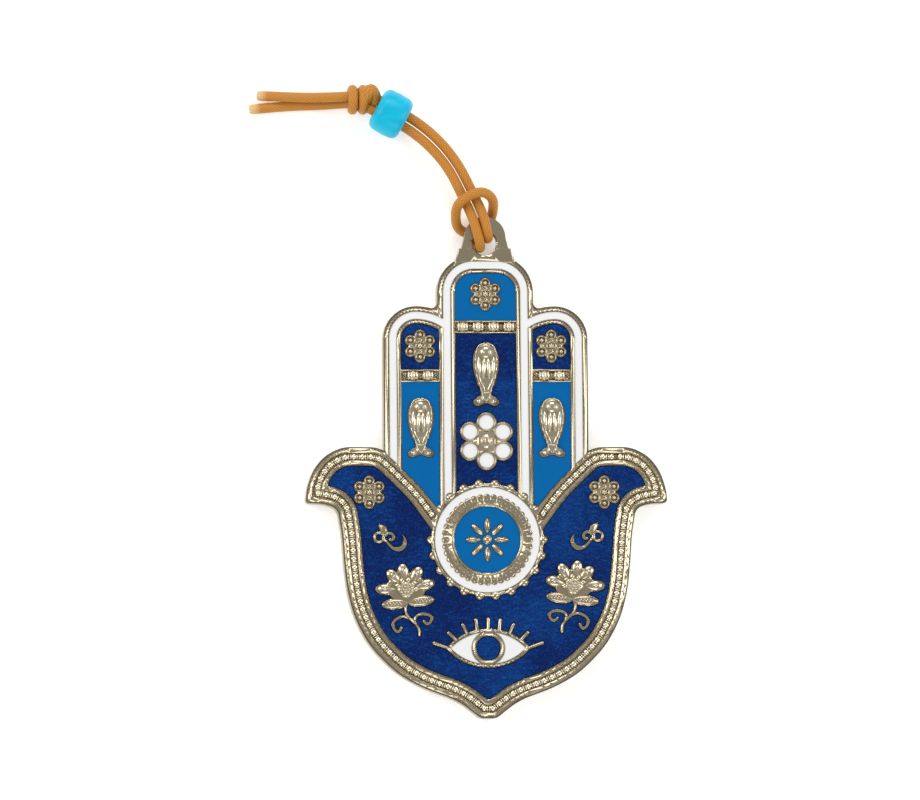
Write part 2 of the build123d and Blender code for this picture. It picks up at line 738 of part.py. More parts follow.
# The bead, a barrel with a wide bore for both strands
bead_centre = on_cord([bead_place])[0]
bead_section_plane = Plane(bead_centre, x_dir=(0, 0, 1), z_dir=Vector(0, 0, 1).cross(Vector(bead_axis)))
with BuildPart() as bead:
    with BuildSketch(bead_section_plane) as bead_section:
        with BuildLine():
            end_radius = bead_end_diameter / 2
            barrel_ends = ((end_radius, -bead_length / 2), (end_radius, bead_length / 2))
            ThreePointArc(barrel_ends[0], (bead_diameter / 2, 0), barrel_ends[1])
            bore_ends = ((bead_bore / 2, bead_length / 2), (bead_bore / 2, -bead_length / 2))
            Polyline(barrel_ends[1], *bore_ends, barrel_ends[0])
        make_face()
        fillet(bead_section.vertices().group_by(Axis.X)[-1], bead_round)
        fillet(bead_section.vertices().group_by(Axis.X)[0], bead_bore_round)
    revolve(axis=Axis(bead_centre, bead_axis))
parts["bead"] = bead.part

os.makedirs("parts", exist_ok=True)
for name, part in parts.items():
    part.label = name
    export_step(part, f"parts/{name}.step")
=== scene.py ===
"""A hamsa hand ornament of cast metal and enamel, with a knotted cord and a glass bead, in a small studio.

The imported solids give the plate, the cells and the bead. This file dresses the plate, fills its cells with
enamel, sets the small raised ornaments on it and lays the braided cord through the eyelet and the bead.
Lengths are in millimetres until they reach a mesh, which is in metres.
"""

from __future__ import annotations

import logging
import math
from contextlib import contextmanager
from dataclasses import dataclass
from enum import Enum
from typing import Callable, Iterable, Iterator, Mapping, Sequence, Union

import bmesh
import bpy
from mathutils import Matrix, Vector

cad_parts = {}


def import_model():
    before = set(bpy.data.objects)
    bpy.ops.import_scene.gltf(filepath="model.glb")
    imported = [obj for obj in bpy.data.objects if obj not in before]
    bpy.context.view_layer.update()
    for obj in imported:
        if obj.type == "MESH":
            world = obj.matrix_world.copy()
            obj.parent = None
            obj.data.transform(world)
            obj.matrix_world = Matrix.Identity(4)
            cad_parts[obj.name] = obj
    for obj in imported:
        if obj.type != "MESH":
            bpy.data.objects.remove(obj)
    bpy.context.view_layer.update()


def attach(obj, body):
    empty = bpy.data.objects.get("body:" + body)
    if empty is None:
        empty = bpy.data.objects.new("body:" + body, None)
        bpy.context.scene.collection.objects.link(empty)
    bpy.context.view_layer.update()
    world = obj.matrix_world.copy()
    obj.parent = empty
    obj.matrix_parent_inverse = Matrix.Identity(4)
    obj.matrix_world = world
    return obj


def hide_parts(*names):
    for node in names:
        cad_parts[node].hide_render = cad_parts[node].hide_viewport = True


log = logging.getLogger("hamsa")

Number = Union["Signal", float]
Point = tuple[float, float, float]
Outline = Sequence[tuple[float, float]]

MEDALLION_Y = -14.575
EYELET_Y = 44.825
FACE_Z = 4.0

# The colour sockets of a Mix node, and what the finishes share: the slant of their streaks is in radians
MIX_FIRST, MIX_SECOND, MIX_RESULT = 6, 7, 2
STREAK_SLANT = 0.7
BEVEL_SAMPLES = 6

# What the raised shapes share: how deep a foot is sunk, the angle up to which it is smooth, a ring's rise
SUNK = 0.1
RELIEF_ANGLE = 60.0
RING_RISE = 1.25

# How near two corners are that are one, and a corner to the plane or the face that it belongs to
MERGE_DISTANCE = 0.0005
SAME_PLACE = 0.001
SAME_FACE = 0.002


def mm(value: float) -> float:
    """Millimetres as the metres that a mesh is in."""
    return value * 0.001


# Shader maths


class Signal:
    """A shader value that takes part in Python sums, each operator adding one Math node."""

    def __init__(self, bench: "Bench", socket: bpy.types.NodeSocket) -> None:
        """Wraps one output socket of the bench's node tree."""
        self.bench = bench
        self.socket = socket

    def __add__(self, other: Number) -> "Signal":
        """This value plus another."""
        return self.bench.maths("ADD", self, other)

    __radd__ = __add__

    def __sub__(self, other: Number) -> "Signal":
        """This value less another."""
        return self.bench.maths("SUBTRACT", self, other)

    def __rsub__(self, other: Number) -> "Signal":
        """Another value less this one."""
        return self.bench.maths("SUBTRACT", other, self)

    def __mul__(self, other: Number) -> "Signal":
        """This value times another."""
        return self.bench.maths("MULTIPLY", self, other)

    __rmul__ = __mul__

    def __pow__(self, other: Number) -> "Signal":
        """This value to a power."""
        return self.bench.maths("POWER", self, other)

    def wave(self) -> "Signal":
        """The sine of this value, in radians."""
        return self.bench.maths("SINE", self, 0.0)

    def size(self) -> "Signal":
        """This value without its sign."""
        return self.bench.maths("ABSOLUTE", self, 0.0)

    def band(self, low: float, high: float) -> "Signal":
        """A smooth climb from 0 to 1.

        Args:
            low: The value where it is 0.
            high: The value where it is 1.

        Returns:
            The climb.
        """
        return self.bench.node(
            "ShaderNodeMapRange",
            {"interpolation_type": "SMOOTHSTEP"},
            {"Value": self, "From Min": low, "From Max": high, "To Min": 0.0, "To Max": 1.0},
        )

    def part(self, name: str) -> "Signal":
        """Another output of the node that this value comes from.

        Args:
            name: The output socket's name.

        Returns:
            That output as a value.
        """
        return Signal(self.bench, self.socket.node.outputs[name])


class Bench:
    """The node tree of one material, with the calls that add nodes to it."""

    def __init__(self, name: str) -> None:
        """Starts a material of this name with an empty tree."""
        self.material = bpy.data.materials.new(name)
        self.material.use_nodes = True
        self.tree = self.material.node_tree
        self.tree.nodes.clear()

    def node(
        self,
        kind: str,
        settings: Mapping[str, object] | None = None,
        inputs: Mapping[Union[str, int], object] | None = None,
        output: Union[str, int] = 0,
    ) -> Signal:
        """Adds one node.

        Args:
            kind: The node's type name.
            settings: Its own settings, such as a Math node's operation, set first.
            inputs: Values or signals by socket name or index.
            output: The output socket to return.

        Returns:
            The chosen output as a signal.
        """
        made = self.tree.nodes.new(kind)
        for name, value in (settings or {}).items():
            setattr(made, name, value)
        for key, value in (inputs or {}).items():
            socket = made.inputs[key]
            if isinstance(value, Signal):
                self.tree.links.new(value.socket, socket)
            else:
                socket.default_value = value
        return Signal(self, made.outputs[output])

    def maths(self, operation: str, first: Number, second: Number) -> Signal:
        """One Math node on two numbers."""
        return self.node("ShaderNodeMath", {"operation": operation}, {0: first, 1: second})

    def mix(self, factor: Number, dark: object, light: object) -> Signal:
        """Mixes two colours.

        Args:
            factor: 0 gives the first colour and 1 the second.
            dark: The first colour, as numbers or a signal.
            light: The second colour.

        Returns:
            The mixed colour.
        """
        colours = {MIX_FIRST: dark, MIX_SECOND: light}
        ready = {key: value if isinstance(value, Signal) else (*value, 1.0) for key, value in colours.items()}
        return self.node("ShaderNodeMix", {"data_type": "RGBA"}, {0: factor, **ready}, MIX_RESULT)

    def noise(
        self, scale: float, detail: float, where: Signal | None = None, stretch: Point = (1, 1, 1)
    ) -> Signal:
        """Soft noise over the piece.

        Args:
            scale: Waves in a metre.
            detail: Octaves of finer noise.
            where: The coordinates, or the piece's own when left out.
            stretch: Scale of each axis, for streaks, which also lie at an angle.

        Returns:
            The noise from 0 to 1.
        """
        place = where or self.node("ShaderNodeTexCoord", output="Object")
        if stretch != (1, 1, 1):
            inputs = {"Vector": place, "Scale": stretch, "Rotation": (0, 0, STREAK_SLANT)}
            place = self.node("ShaderNodeMapping", None, inputs)
        return self.node("ShaderNodeTexNoise", None, {"Vector": place, "Scale": scale, "Detail": detail})

    def axes(self, place: Signal) -> tuple[Signal, Signal, Signal]:
        """The three coordinates of a place."""
        split = self.node("ShaderNodeSeparateXYZ", None, {0: place})
        return split.part("X"), split.part("Y"), split.part("Z")

    def rounded(self, radius: float) -> Signal:
        """The surface's direction with its edges eased by this radius in millimetres."""
        return self.node("ShaderNodeBevel", {"samples": BEVEL_SAMPLES}, {"Radius": mm(radius)})

    def bump(self, height: Signal, depth: float, strength: float, under: Signal | None = None) -> Signal:
        """A bump from a height.

        Args:
            height: The height from 0 to 1.
            depth: The depth that 1 stands for, in millimetres.
            strength: Share of the bump that shows.
            under: A direction that the bump adds to.

        Returns:
            The changed direction of the surface.
        """
        inputs: dict[str, object] = {"Height": height, "Distance": mm(depth), "Strength": strength}
        if under is not None:
            inputs["Normal"] = under
        return self.node("ShaderNodeBump", None, inputs)

    def finish(self, **sockets: object) -> bpy.types.Material:
        """Ends the tree in one Principled surface.

        Args:
            **sockets: Socket names with underscores for spaces, and their values or signals.

        Returns:
            The finished material.
        """
        inputs = {name.replace("_", " "): value for name, value in sockets.items()}
        shader = self.node("ShaderNodeBsdfPrincipled", None, inputs)
        end = self.tree.nodes.new("ShaderNodeOutputMaterial")
        self.tree.links.new(shader.socket, end.inputs["Surface"])
        return self.material


# Finishes


@dataclass(frozen=True)
class CastNickel:
    """Nickel plate on a casting: a painted highlight on the highest relief, browner in the recesses.

    Each pair of heights is where a change begins and ends. A piece's own mark adds painted highlight to it,
    or painted shade where the mark is below zero.
    """

    painted_highlight: Point = (0.86, 0.79, 0.63)
    bright: Point = (0.50, 0.43, 0.30)
    dull: Point = (0.20, 0.155, 0.095)
    recess_heights: tuple[float, float] = (3.45, 3.85)
    side_heights: tuple[float, float] = (2.4, 3.2)
    highlight_heights: tuple[float, float] = (4.04, 4.40)
    highlight_share: float = 0.42
    recess_share: float = 0.80
    stain_share: float = 0.16
    stain_scale: float = 300.0
    swell_scale: float = 240.0
    swell_depth: float = 0.030
    roughness: float = 0.20
    edge_radius: float = 0.08

    def make(self) -> bpy.types.Material:
        """The finish as a material."""
        bench = Bench("cast_nickel")
        place = bench.node("ShaderNodeTexCoord", output="Object")
        height = bench.axes(place)[2]
        low = 1 - height.band(*map(mm, self.recess_heights))
        on_side = height.band(*map(mm, self.side_heights))
        stain = bench.noise(self.stain_scale, 3.0, place)
        swell = bench.noise(self.swell_scale, 0.0, place)
        tone = (low * on_side * self.recess_share + stain.band(0.45, 0.75) * self.stain_share).band(0.0, 1.0)
        # Painted highlight on the highest relief and on pieces marked for it, painted shade where the mark is
        # below zero
        wear_and_painted_light = bench.node("ShaderNodeAttribute", {"attribute_name": "painted_light_mark"}, output="Fac")
        crest = (height.band(*map(mm, self.highlight_heights)) * self.highlight_share + wear_and_painted_light).band(0.0, 1.0)
        return bench.finish(
            Base_Color=bench.mix(crest, bench.mix(tone, self.bright, self.dull), self.painted_highlight),
            Metallic=1.0,
            Roughness=self.roughness + stain * 0.08 + low * 0.10,
            Normal=bench.bump(swell, self.swell_depth, 0.5, bench.rounded(self.edge_radius)),
        )


@dataclass(frozen=True)
class FlatEnamel:
    """Opaque enamel, glossy, with a darker line at its walls: partly painted shadow of the walls, partly
    thicker enamel where it climbs them.
    """

    name: str
    colour: Point
    edge: Point
    edge_share: float = 0.80
    stain_share: float = 0.08
    stain_scale: float = 260.0
    ripple_scale: float = 500.0
    ripple_depth: float = 0.008
    roughness: float = 0.26
    specular: float = 0.12

    def make(self) -> bpy.types.Material:
        """The finish as a material."""
        bench = Bench(self.name)
        rim = bench.node("ShaderNodeAttribute", {"attribute_name": "rim"}, output="Fac")
        stain = bench.noise(self.stain_scale, 3.0)
        ripple = bench.noise(self.ripple_scale, 2.0)
        # The line at the walls is partly painted shadow, partly thicker enamel
        dark = rim.band(0.1, 0.8) * self.edge_share + stain.band(0.45, 0.8) * self.stain_share
        return bench.finish(
            Base_Color=bench.mix(dark.band(0.0, 1.0), self.colour, self.edge),
            Roughness=self.roughness + stain * 0.08,
            Specular_IOR_Level=self.specular,
            Normal=bench.bump(ripple, self.ripple_depth, 0.4),
        )


@dataclass(frozen=True)
class ShimmerEnamel:
    """Clear blue enamel over scratched metal: light streaks and specks in a deep blue, near black at its
    walls, partly painted shadow of the walls and partly deeper enamel there.
    """

    deep: Point = (0.001, 0.011, 0.090)
    lit: Point = (0.005, 0.078, 0.330)
    edge: Point = (0.001, 0.002, 0.014)
    streak_scale: float = 900.0
    streak_stretch: Point = (1.0, 2.2, 1.0)
    speck_scale: float = 2600.0
    patch_scale: float = 90.0
    streak_share: float = 0.28
    speck_share: float = 0.42
    patch_share: float = 0.30
    metal_share: float = 0.25
    grain_depth: float = 0.030
    roughness: float = 0.34
    specular: float = 0.12

    def make(self) -> bpy.types.Material:
        """The finish as a material."""
        bench = Bench("shimmer_enamel")
        rim = bench.node("ShaderNodeAttribute", {"attribute_name": "rim"}, output="Fac")
        streak = bench.noise(self.streak_scale, 3.0, None, self.streak_stretch)
        patch = bench.noise(self.patch_scale, 2.0)
        speck = bench.noise(self.speck_scale, 2.0)
        scratched = streak.band(0.42, 0.75) * self.streak_share + speck.band(0.46, 0.74) * self.speck_share
        lit = scratched + patch.band(0.35, 0.70) * self.patch_share
        body = bench.mix(lit.band(0.0, 1.0), self.deep, self.lit)
        return bench.finish(
            # Near black at the walls: partly painted shadow, partly deeper enamel
            Base_Color=bench.mix(rim.band(0.0, 0.40), body, self.edge),
            Metallic=lit * self.metal_share,
            Roughness=self.roughness - lit * 0.06,
            Specular_IOR_Level=self.specular,
            Normal=bench.bump(streak * 0.5 + speck * 0.5, self.grain_depth, 0.5),
        )


@dataclass(frozen=True)
class WaxedBraid:
    """Waxed braided cotton, its plaits following the cord's own map, with painted shade in the hollows
    between plaits, and paler where it is cut.
    """

    crest: Point = (0.60, 0.255, 0.034)
    plait_shade: Point = (0.41, 0.156, 0.015)
    wear_and_painted_light: Point = (0.54, 0.219, 0.024)
    frayed: Point = (0.85, 0.62, 0.33)
    plaits_round: float = 10.0
    plait_length: float = 0.90
    plait_crown: float = 0.6
    plait_depth: float = 0.09
    fibre_scale: float = 5200.0
    fade_scale: float = 240.0
    worn_share: float = 0.30
    roughness: float = 0.52
    specular: float = 0.35

    def make(self) -> bpy.types.Material:
        """The finish as a material."""
        bench = Bench("waxed_braid")
        where = bench.node("ShaderNodeUVMap", {"uv_map": "along"})
        around, along, _ = bench.axes(where)
        steps = around * (self.plaits_round * math.pi)
        climb = along * (math.pi / self.plait_length * 1000.0)
        plait = ((steps + climb).wave().size() * (steps - climb).wave().size()) ** self.plait_crown
        fibre = bench.noise(self.fibre_scale, 3.0)
        fade = bench.noise(self.fade_scale, 3.0)
        crest = (plait * 0.75 + fibre * 0.25).band(0.12, 0.85)
        wear = fade.band(0.35, 0.8) * self.worn_share
        # The hollows between plaits get painted shade
        braid = bench.mix(wear, bench.mix(crest, self.plait_shade, self.crest), self.wear_and_painted_light)
        cut = bench.node("ShaderNodeAttribute", {"attribute_name": "cut"}, output="Fac")
        return bench.finish(
            Base_Color=bench.mix(cut * (0.45 + fibre * 0.7), braid, self.frayed),
            Roughness=self.roughness - crest * 0.12,
            Specular_IOR_Level=self.specular,
            Normal=bench.bump(plait * 0.7 + fibre * 0.3, self.plait_depth, 0.7),
        )


@dataclass(frozen=True)
class BeadGlass:
    """Opaque turquoise glass with a faint swirl."""

    pale: Point = (0.001, 0.50, 0.74)
    strong: Point = (0.001, 0.42, 0.65)
    swirl_scale: float = 170.0
    swirl_stretch: Point = (1.0, 4.0, 1.0)
    ripple_scale: float = 500.0
    ripple_depth: float = 0.010
    roughness: float = 0.30
    specular: float = 0.30

    def make(self) -> bpy.types.Material:
        """The finish as a material."""
        bench = Bench("bead_glass")
        swirl = bench.noise(self.swirl_scale, 3.0, None, self.swirl_stretch)
        return bench.finish(
            Base_Color=bench.mix(swirl.band(0.35, 0.75), self.pale, self.strong),
            Roughness=self.roughness + swirl * 0.08,
            Specular_IOR_Level=self.specular,
            Normal=bench.bump(bench.noise(self.ripple_scale, 2.0), self.ripple_depth, 0.4),
        )


@dataclass(frozen=True)
class PaleBoard:
    """The plain pale board that the ornament lies on, lit a little from below like a light table."""

    colour: Point = (0.90, 0.90, 0.895)
    shade: Point = (0.88, 0.88, 0.875)
    cloud_scale: float = 12.0
    cloud_share: float = 0.2
    glow: float = 0.35
    roughness: float = 0.8
    specular: float = 0.1

    def make(self) -> bpy.types.Material:
        """The finish as a material."""
        bench = Bench("pale_board")
        cloud = bench.noise(self.cloud_scale, 2.0)
        return bench.finish(
            Base_Color=bench.mix(cloud * self.cloud_share, self.colour, self.shade),
            Roughness=self.roughness,
            Specular_IOR_Level=self.specular,
            Emission_Color=(1.0, 1.0, 1.0, 1.0),
            Emission_Strength=self.glow,
        )


class Finish(Enum):
    """The finishes of the ornament, each with a name."""

    METAL = "casting_metal"
    LIGHT_BLUE = "light_blue_enamel"
    DARK_BLUE = "dark_blue_enamel"
    WHITE = "white_enamel"
    CORD = "cord"
    BEAD = "bead_glass"


class PaintShop:
    """Makes each finish once and puts it on pieces."""

    def __init__(self) -> None:
        """Makes all the materials."""
        self.materials = {
            Finish.METAL: CastNickel().make(),
            # Each flat enamel's second colour is its line at the walls, partly painted shadow and partly
            # thicker enamel
            Finish.LIGHT_BLUE: FlatEnamel("light_blue_enamel", (0.0, 0.120, 0.360), (0.0, 0.02, 0.07)).make(),
            Finish.DARK_BLUE: ShimmerEnamel().make(),
            Finish.WHITE: FlatEnamel("white_enamel", (0.80, 0.81, 0.815), (0.30, 0.28, 0.22)).make(),
            Finish.CORD: WaxedBraid().make(),
            Finish.BEAD: BeadGlass().make(),
        }

    def dress(self, piece: bpy.types.Object, finish: Finish) -> None:
        """Gives a piece one finish.

        Args:
            piece: The piece.
            finish: Its finish.
        """
        piece.data.materials.clear()
        piece.data.materials.append(self.materials[finish])


# Modelling at the bench


def clear_selection() -> None:
    """Leaves edit mode and deselects everything."""
    if bpy.context.object is not None and bpy.context.object.mode != "OBJECT":
        bpy.ops.object.mode_set(mode="OBJECT")
    bpy.ops.object.select_all(action="DESELECT")


def pick(piece: bpy.types.Object) -> None:
    """Makes a piece the only one selected, and active."""
    clear_selection()
    piece.select_set(True)
    bpy.context.view_layer.objects.active = piece


@contextmanager
def editing(piece: bpy.types.Object) -> Iterator[None]:
    """Opens one piece in edit mode with nothing selected, to select by faces.

    Args:
        piece: The mesh object.
    """
    pick(piece)
    bpy.ops.object.mode_set(mode="EDIT")
    bpy.ops.mesh.select_mode(type="FACE")
    bpy.ops.mesh.select_all(action="DESELECT")
    yield
    bpy.ops.object.mode_set(mode="OBJECT")


def choose(piece: bpy.types.Object, kind: str, test: Callable[[object], bool]) -> None:
    """Selects the elements of an open mesh that pass a test, and no others.

    Args:
        piece: The object in edit mode.
        kind: verts, edges or faces.
        test: Says whether an element is selected.
    """
    shape = bmesh.from_edit_mesh(piece.data)
    for element in (*shape.verts, *shape.edges, *shape.faces):
        element.select_set(False)
    for element in getattr(shape, kind):
        if test(element):
            element.select_set(True)
    shape.select_flush_mode()
    bmesh.update_edit_mesh(piece.data)


def named(name: str) -> bpy.types.Object:
    """Names what an operator has just added or joined.

    Args:
        name: The name.

    Returns:
        That object.
    """
    piece = bpy.context.object
    piece.name = name
    piece.data.name = name
    return piece


def smooth(piece: bpy.types.Object, degrees: float, weighted: bool = False) -> None:
    """Shades a piece smooth up to an angle.

    Args:
        piece: The mesh object.
        degrees: Edges sharper than this stay sharp.
        weighted: Whether broad faces keep their flatness.
    """
    pick(piece)
    bpy.ops.object.shade_smooth_by_angle(angle=math.radians(degrees))
    if weighted:
        modifier = piece.modifiers.new("flat_faces", "WEIGHTED_NORMAL")
        modifier.keep_sharp = True
        modifier.weight = 80
        bpy.ops.object.modifier_apply(modifier=modifier.name)


def copy_of_node(node: str, name: str) -> bpy.types.Object:
    """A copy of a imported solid's mesh, its loose triangles joined.

    Args:
        node: The solid's name.
        name: The new piece's name.

    Returns:
        The new object.
    """
    source = bpy.data.objects[node]
    piece = bpy.data.objects.new(name, source.data.copy())
    bpy.context.scene.collection.objects.link(piece)
    with editing(piece):
        bpy.ops.mesh.select_all(action="SELECT")
        bpy.ops.mesh.remove_doubles(threshold=mm(MERGE_DISTANCE))
    return piece


def spot(x: float, y: float, z: float, turn: float = 0.0, size: Point = (1, 1, 1)) -> Matrix:
    """A place on the ornament in millimetres, with a turn in degrees about Z and a scale."""
    turned = Matrix.Rotation(math.radians(turn), 4, "Z")
    return Matrix.Translation((mm(x), mm(y), mm(z))) @ turned @ Matrix.Diagonal((*size, 1.0))


def joined(name: str, pieces: Sequence[bpy.types.Object]) -> bpy.types.Object:
    """Joins pieces into one.

    Args:
        name: The joined piece's name.
        pieces: The pieces, which it takes in.

    Returns:
        The joined piece.
    """
    clear_selection()
    for piece in pieces:
        piece.select_set(True)
    bpy.context.view_layer.objects.active = pieces[0]
    if len(pieces) > 1:
        bpy.ops.object.join()
    return named(name)


def repeated(name: str, master: bpy.types.Object, places: Iterable[Matrix]) -> bpy.types.Object:
    """Copies a shape to each place and joins the copies, and takes the shape away.

    Args:
        name: The joined piece's name.
        master: The shape, modelled once.
        places: Where each copy goes.

    Returns:
        The joined piece.
    """
    twins = []
    for place in places:
        twin = bpy.data.objects.new(name, master.data.copy())
        twin.data.transform(place)
        if place.determinant() < 0:
            twin.data.flip_normals()
        bpy.context.scene.collection.objects.link(twin)
        twins.append(twin)
    bpy.data.objects.remove(master)
    return joined(name, twins)


def dome(name: str, size: Point, sunk: float, segments: int) -> bpy.types.Object:
    """A domed button.

    Args:
        name: Its name.
        size: Its half sizes in millimetres.
        sunk: How far it goes on below its widest place.
        segments: Faces round it.

    Returns:
        The closed dome, its widest place at the origin.
    """
    clear_selection()
    bpy.ops.mesh.primitive_uv_sphere_add(segments=segments, ring_count=segments // 2, radius=mm(1.0))
    button = named(name)
    with editing(button):
        bpy.ops.mesh.select_all(action="SELECT")
        bpy.ops.transform.resize(value=size, center_override=(0, 0, 0))
        bpy.ops.mesh.bisect(plane_co=(0, 0, -mm(sunk)), plane_no=(0, 0, -1), use_fill=True, clear_outer=True)
    smooth(button, RELIEF_ANGLE)
    return button


def turned_leaf(name: str, outline: Outline, height: float, steps: int = 14) -> bpy.types.Object:
    """A rounded leaf along X, like a turned spindle pressed flat.

    Args:
        name: Its name.
        outline: Places along it and half widths there in millimetres, its ends included.
        height: Its height in millimetres.
        steps: Faces round it.

    Returns:
        The closed leaf, its bottom cut just below the origin.
    """
    start, end = outline[0][0], outline[-1][0]
    widest = max(width for _, width in outline)
    clear_selection()
    bpy.ops.mesh.primitive_cylinder_add(vertices=steps, radius=mm(1.0), depth=mm(end - start))
    leaf = named(name)
    with editing(leaf):
        bpy.ops.mesh.select_all(action="SELECT")
        shape = bmesh.from_edit_mesh(leaf.data)
        bmesh.ops.transform(shape, matrix=Matrix.Rotation(math.radians(90), 4, "Y"), verts=shape.verts)
        bmesh.ops.translate(shape, vec=(mm((start + end) / 2), 0, 0), verts=shape.verts)
        bmesh.update_edit_mesh(leaf.data)
        for along, _ in outline[1:-1]:
            bpy.ops.mesh.select_all(action="SELECT")
            bpy.ops.mesh.bisect(plane_co=(mm(along), 0, 0), plane_no=(1, 0, 0))
        bpy.ops.mesh.select_mode(type="VERT")
        for along, width in outline:
            choose(leaf, "verts", lambda v, at=along: abs(v.co.x - mm(at)) < mm(SAME_PLACE))
            bpy.ops.transform.resize(value=(1, width, width), center_override=(mm(along), 0, 0))
        bpy.ops.mesh.select_all(action="SELECT")
        bpy.ops.transform.resize(value=(1, 1, height / widest), center_override=(0, 0, 0))
        bpy.ops.mesh.bisect(plane_co=(0, 0, -mm(SUNK)), plane_no=(0, 0, -1), use_fill=True, clear_outer=True)
    smooth(leaf, RELIEF_ANGLE)
    return leaf


def report(piece: bpy.types.Object) -> None:
    """Logs a finished piece with the number of its faces."""
    log.info("%s: %d faces", piece.name, len(piece.data.polygons))


def painted_light_mark(piece: bpy.types.Object, share: float = 1.0) -> bpy.types.Object:
    """Marks a piece for painted highlight in the metal's finish.

    Args:
        piece: The piece.
        share: How much painted highlight it gets, or below zero how much painted shade.

    Returns:
        The same piece.
    """
    wear_and_painted_light = piece.data.attributes.new("painted_light_mark", "FLOAT", "POINT")
    wear_and_painted_light.data.foreach_set("value", [share] * len(piece.data.vertices))
    return piece


def ring_bead(name: str, radius: float, thickness: float, steps: int = 20) -> bpy.types.Object:
    """A small raised ring lying flat.

    Args:
        name: Its name.
        radius: Its middle radius in millimetres.
        thickness: The radius of its section.
        steps: Faces round it.

    Returns:
        The ring, centred on the origin.
    """
    clear_selection()
    bpy.ops.mesh.primitive_torus_add(
        major_radius=mm(radius), minor_radius=mm(thickness), major_segments=steps, minor_segments=8
    )
    ring = named(name)
    with editing(ring):
        bpy.ops.mesh.select_all(action="SELECT")
        bpy.ops.transform.resize(value=(1, 1, RING_RISE), center_override=(0, 0, 0))
    smooth(ring, RELIEF_ANGLE)
    return ring


# The casting


@dataclass
class CastingPlate:
    """The casting's plate with its walls, whose edges the metal's finish eases."""

    bead_top: float = 4.22
    top_reach: float = 0.0008
    bead_spacing: float = 0.2
    smooth_angle: float = 34.0

    def bead_places(self) -> list[Vector]:
        """The middle of each bead of the beaded border, in order round it, in millimetres.

        Returns:
            One point for each bead.
        """
        mesh = bpy.data.objects["hand_casting"].data
        found: list[Vector] = []
        for vertex in mesh.vertices:
            if abs(vertex.co.z - mm(self.bead_top)) < mm(self.top_reach):
                point = Vector((vertex.co.x, vertex.co.y)) * 1000.0
                if all((point - other).length > self.bead_spacing for other in found):
                    found.append(point)
        ordered = [max(found, key=lambda p: (p.y, p.x))]
        left = [p for p in found if p is not ordered[0]]
        while left:
            nearest = min(left, key=lambda p: (p - ordered[-1]).length)
            ordered.append(nearest)
            left.remove(nearest)
        return ordered

    def build(self) -> bpy.types.Object:
        """Copies the casting and shades its flat walls flat and its curves smooth.

        Returns:
            The finished plate.
        """
        plate = copy_of_node("hand_casting", "casting_plate")
        smooth(plate, self.smooth_angle, weighted=True)
        return plate


@dataclass
class BeadedBorder:
    """The rope round the palm: a low broad bead, then two thin ridges, all the way round."""

    bead_half: Point = (0.52, 0.64, 0.44)
    ridge_half: Point = (0.17, 0.70, 0.50)
    ridge_gap: float = 0.22
    longest_step: float = 2.4
    foot_z: float = 3.86
    sunk: float = 0.12

    def build(self, beads: Sequence[Vector]) -> list[bpy.types.Object]:
        """Sets the beads and the ridges.

        Args:
            beads: The beads' places in order.

        Returns:
            The rope of beads and the ridges between them.
        """
        spots, between = [], []
        for before, here in zip(beads, beads[1:]):
            step = here - before
            if step.length > self.longest_step:
                continue
            turn = math.degrees(math.atan2(step.y, step.x))
            middle = (before + here) / 2
            for side in (-1, 1):
                at = middle + step.normalized() * (side * self.ridge_gap)
                between.append(spot(at.x, at.y, self.foot_z, turn))
        for before, bead in zip(beads[-1:] + beads, beads):
            step = bead - before
            spots.append(spot(bead.x, bead.y, self.foot_z, math.degrees(math.atan2(step.y, step.x))))
        rope = repeated("border_beads", dome("bead", self.bead_half, self.sunk, 16), spots)
        ridges = repeated("border_ridges", dome("ridge", self.ridge_half, self.sunk, 12), between)
        # The beads and ridges are marked for painted highlight
        return [painted_light_mark(rope), painted_light_mark(ridges)]


@dataclass
class FingerBars:
    """The beaded bars across the fingers: ribbed oval beads with crossed ridges between them."""

    middle_y: float = MEDALLION_Y + 42.65
    side_y: float = MEDALLION_Y + 32.85
    side_x: float = 13.20
    pitch: float = 3.1
    ribs: tuple[float, ...] = (-0.86, -0.29, 0.29, 0.86)
    rib_half: Point = (0.22, 1.04, 0.56)
    rib_z: float = 4.12
    rib_sunk: float = 0.25
    cross_half: Point = (0.12, 0.95, 0.50)
    cross_turn: float = 50.0
    cross_z: float = 3.70

    def build(self) -> list[bpy.types.Object]:
        """Sets the ribbed beads and the crossed ridges of the three bars."""
        bars = [(0.0, self.middle_y, 4), (self.side_x, self.side_y, 2), (-self.side_x, self.side_y, 2)]
        ribs, crosses = [], []
        for x, y, count in bars:
            for i in range(count):
                at = x + (i - (count - 1) / 2) * self.pitch
                ribs += [spot(at + dx, y, self.rib_z) for dx in self.ribs]
            for i in range(count + 1):
                at = x + (i - count / 2) * self.pitch
                crosses += [spot(at, y, self.cross_z, turn) for turn in (self.cross_turn, -self.cross_turn)]
        return [
            # The ribs are marked for painted highlight
            painted_light_mark(repeated("bar_ribs", dome("rib", self.rib_half, self.rib_sunk, 12), ribs)),
            repeated("bar_crosses", dome("cross", self.cross_half, SUNK, 10), crosses),
        ]


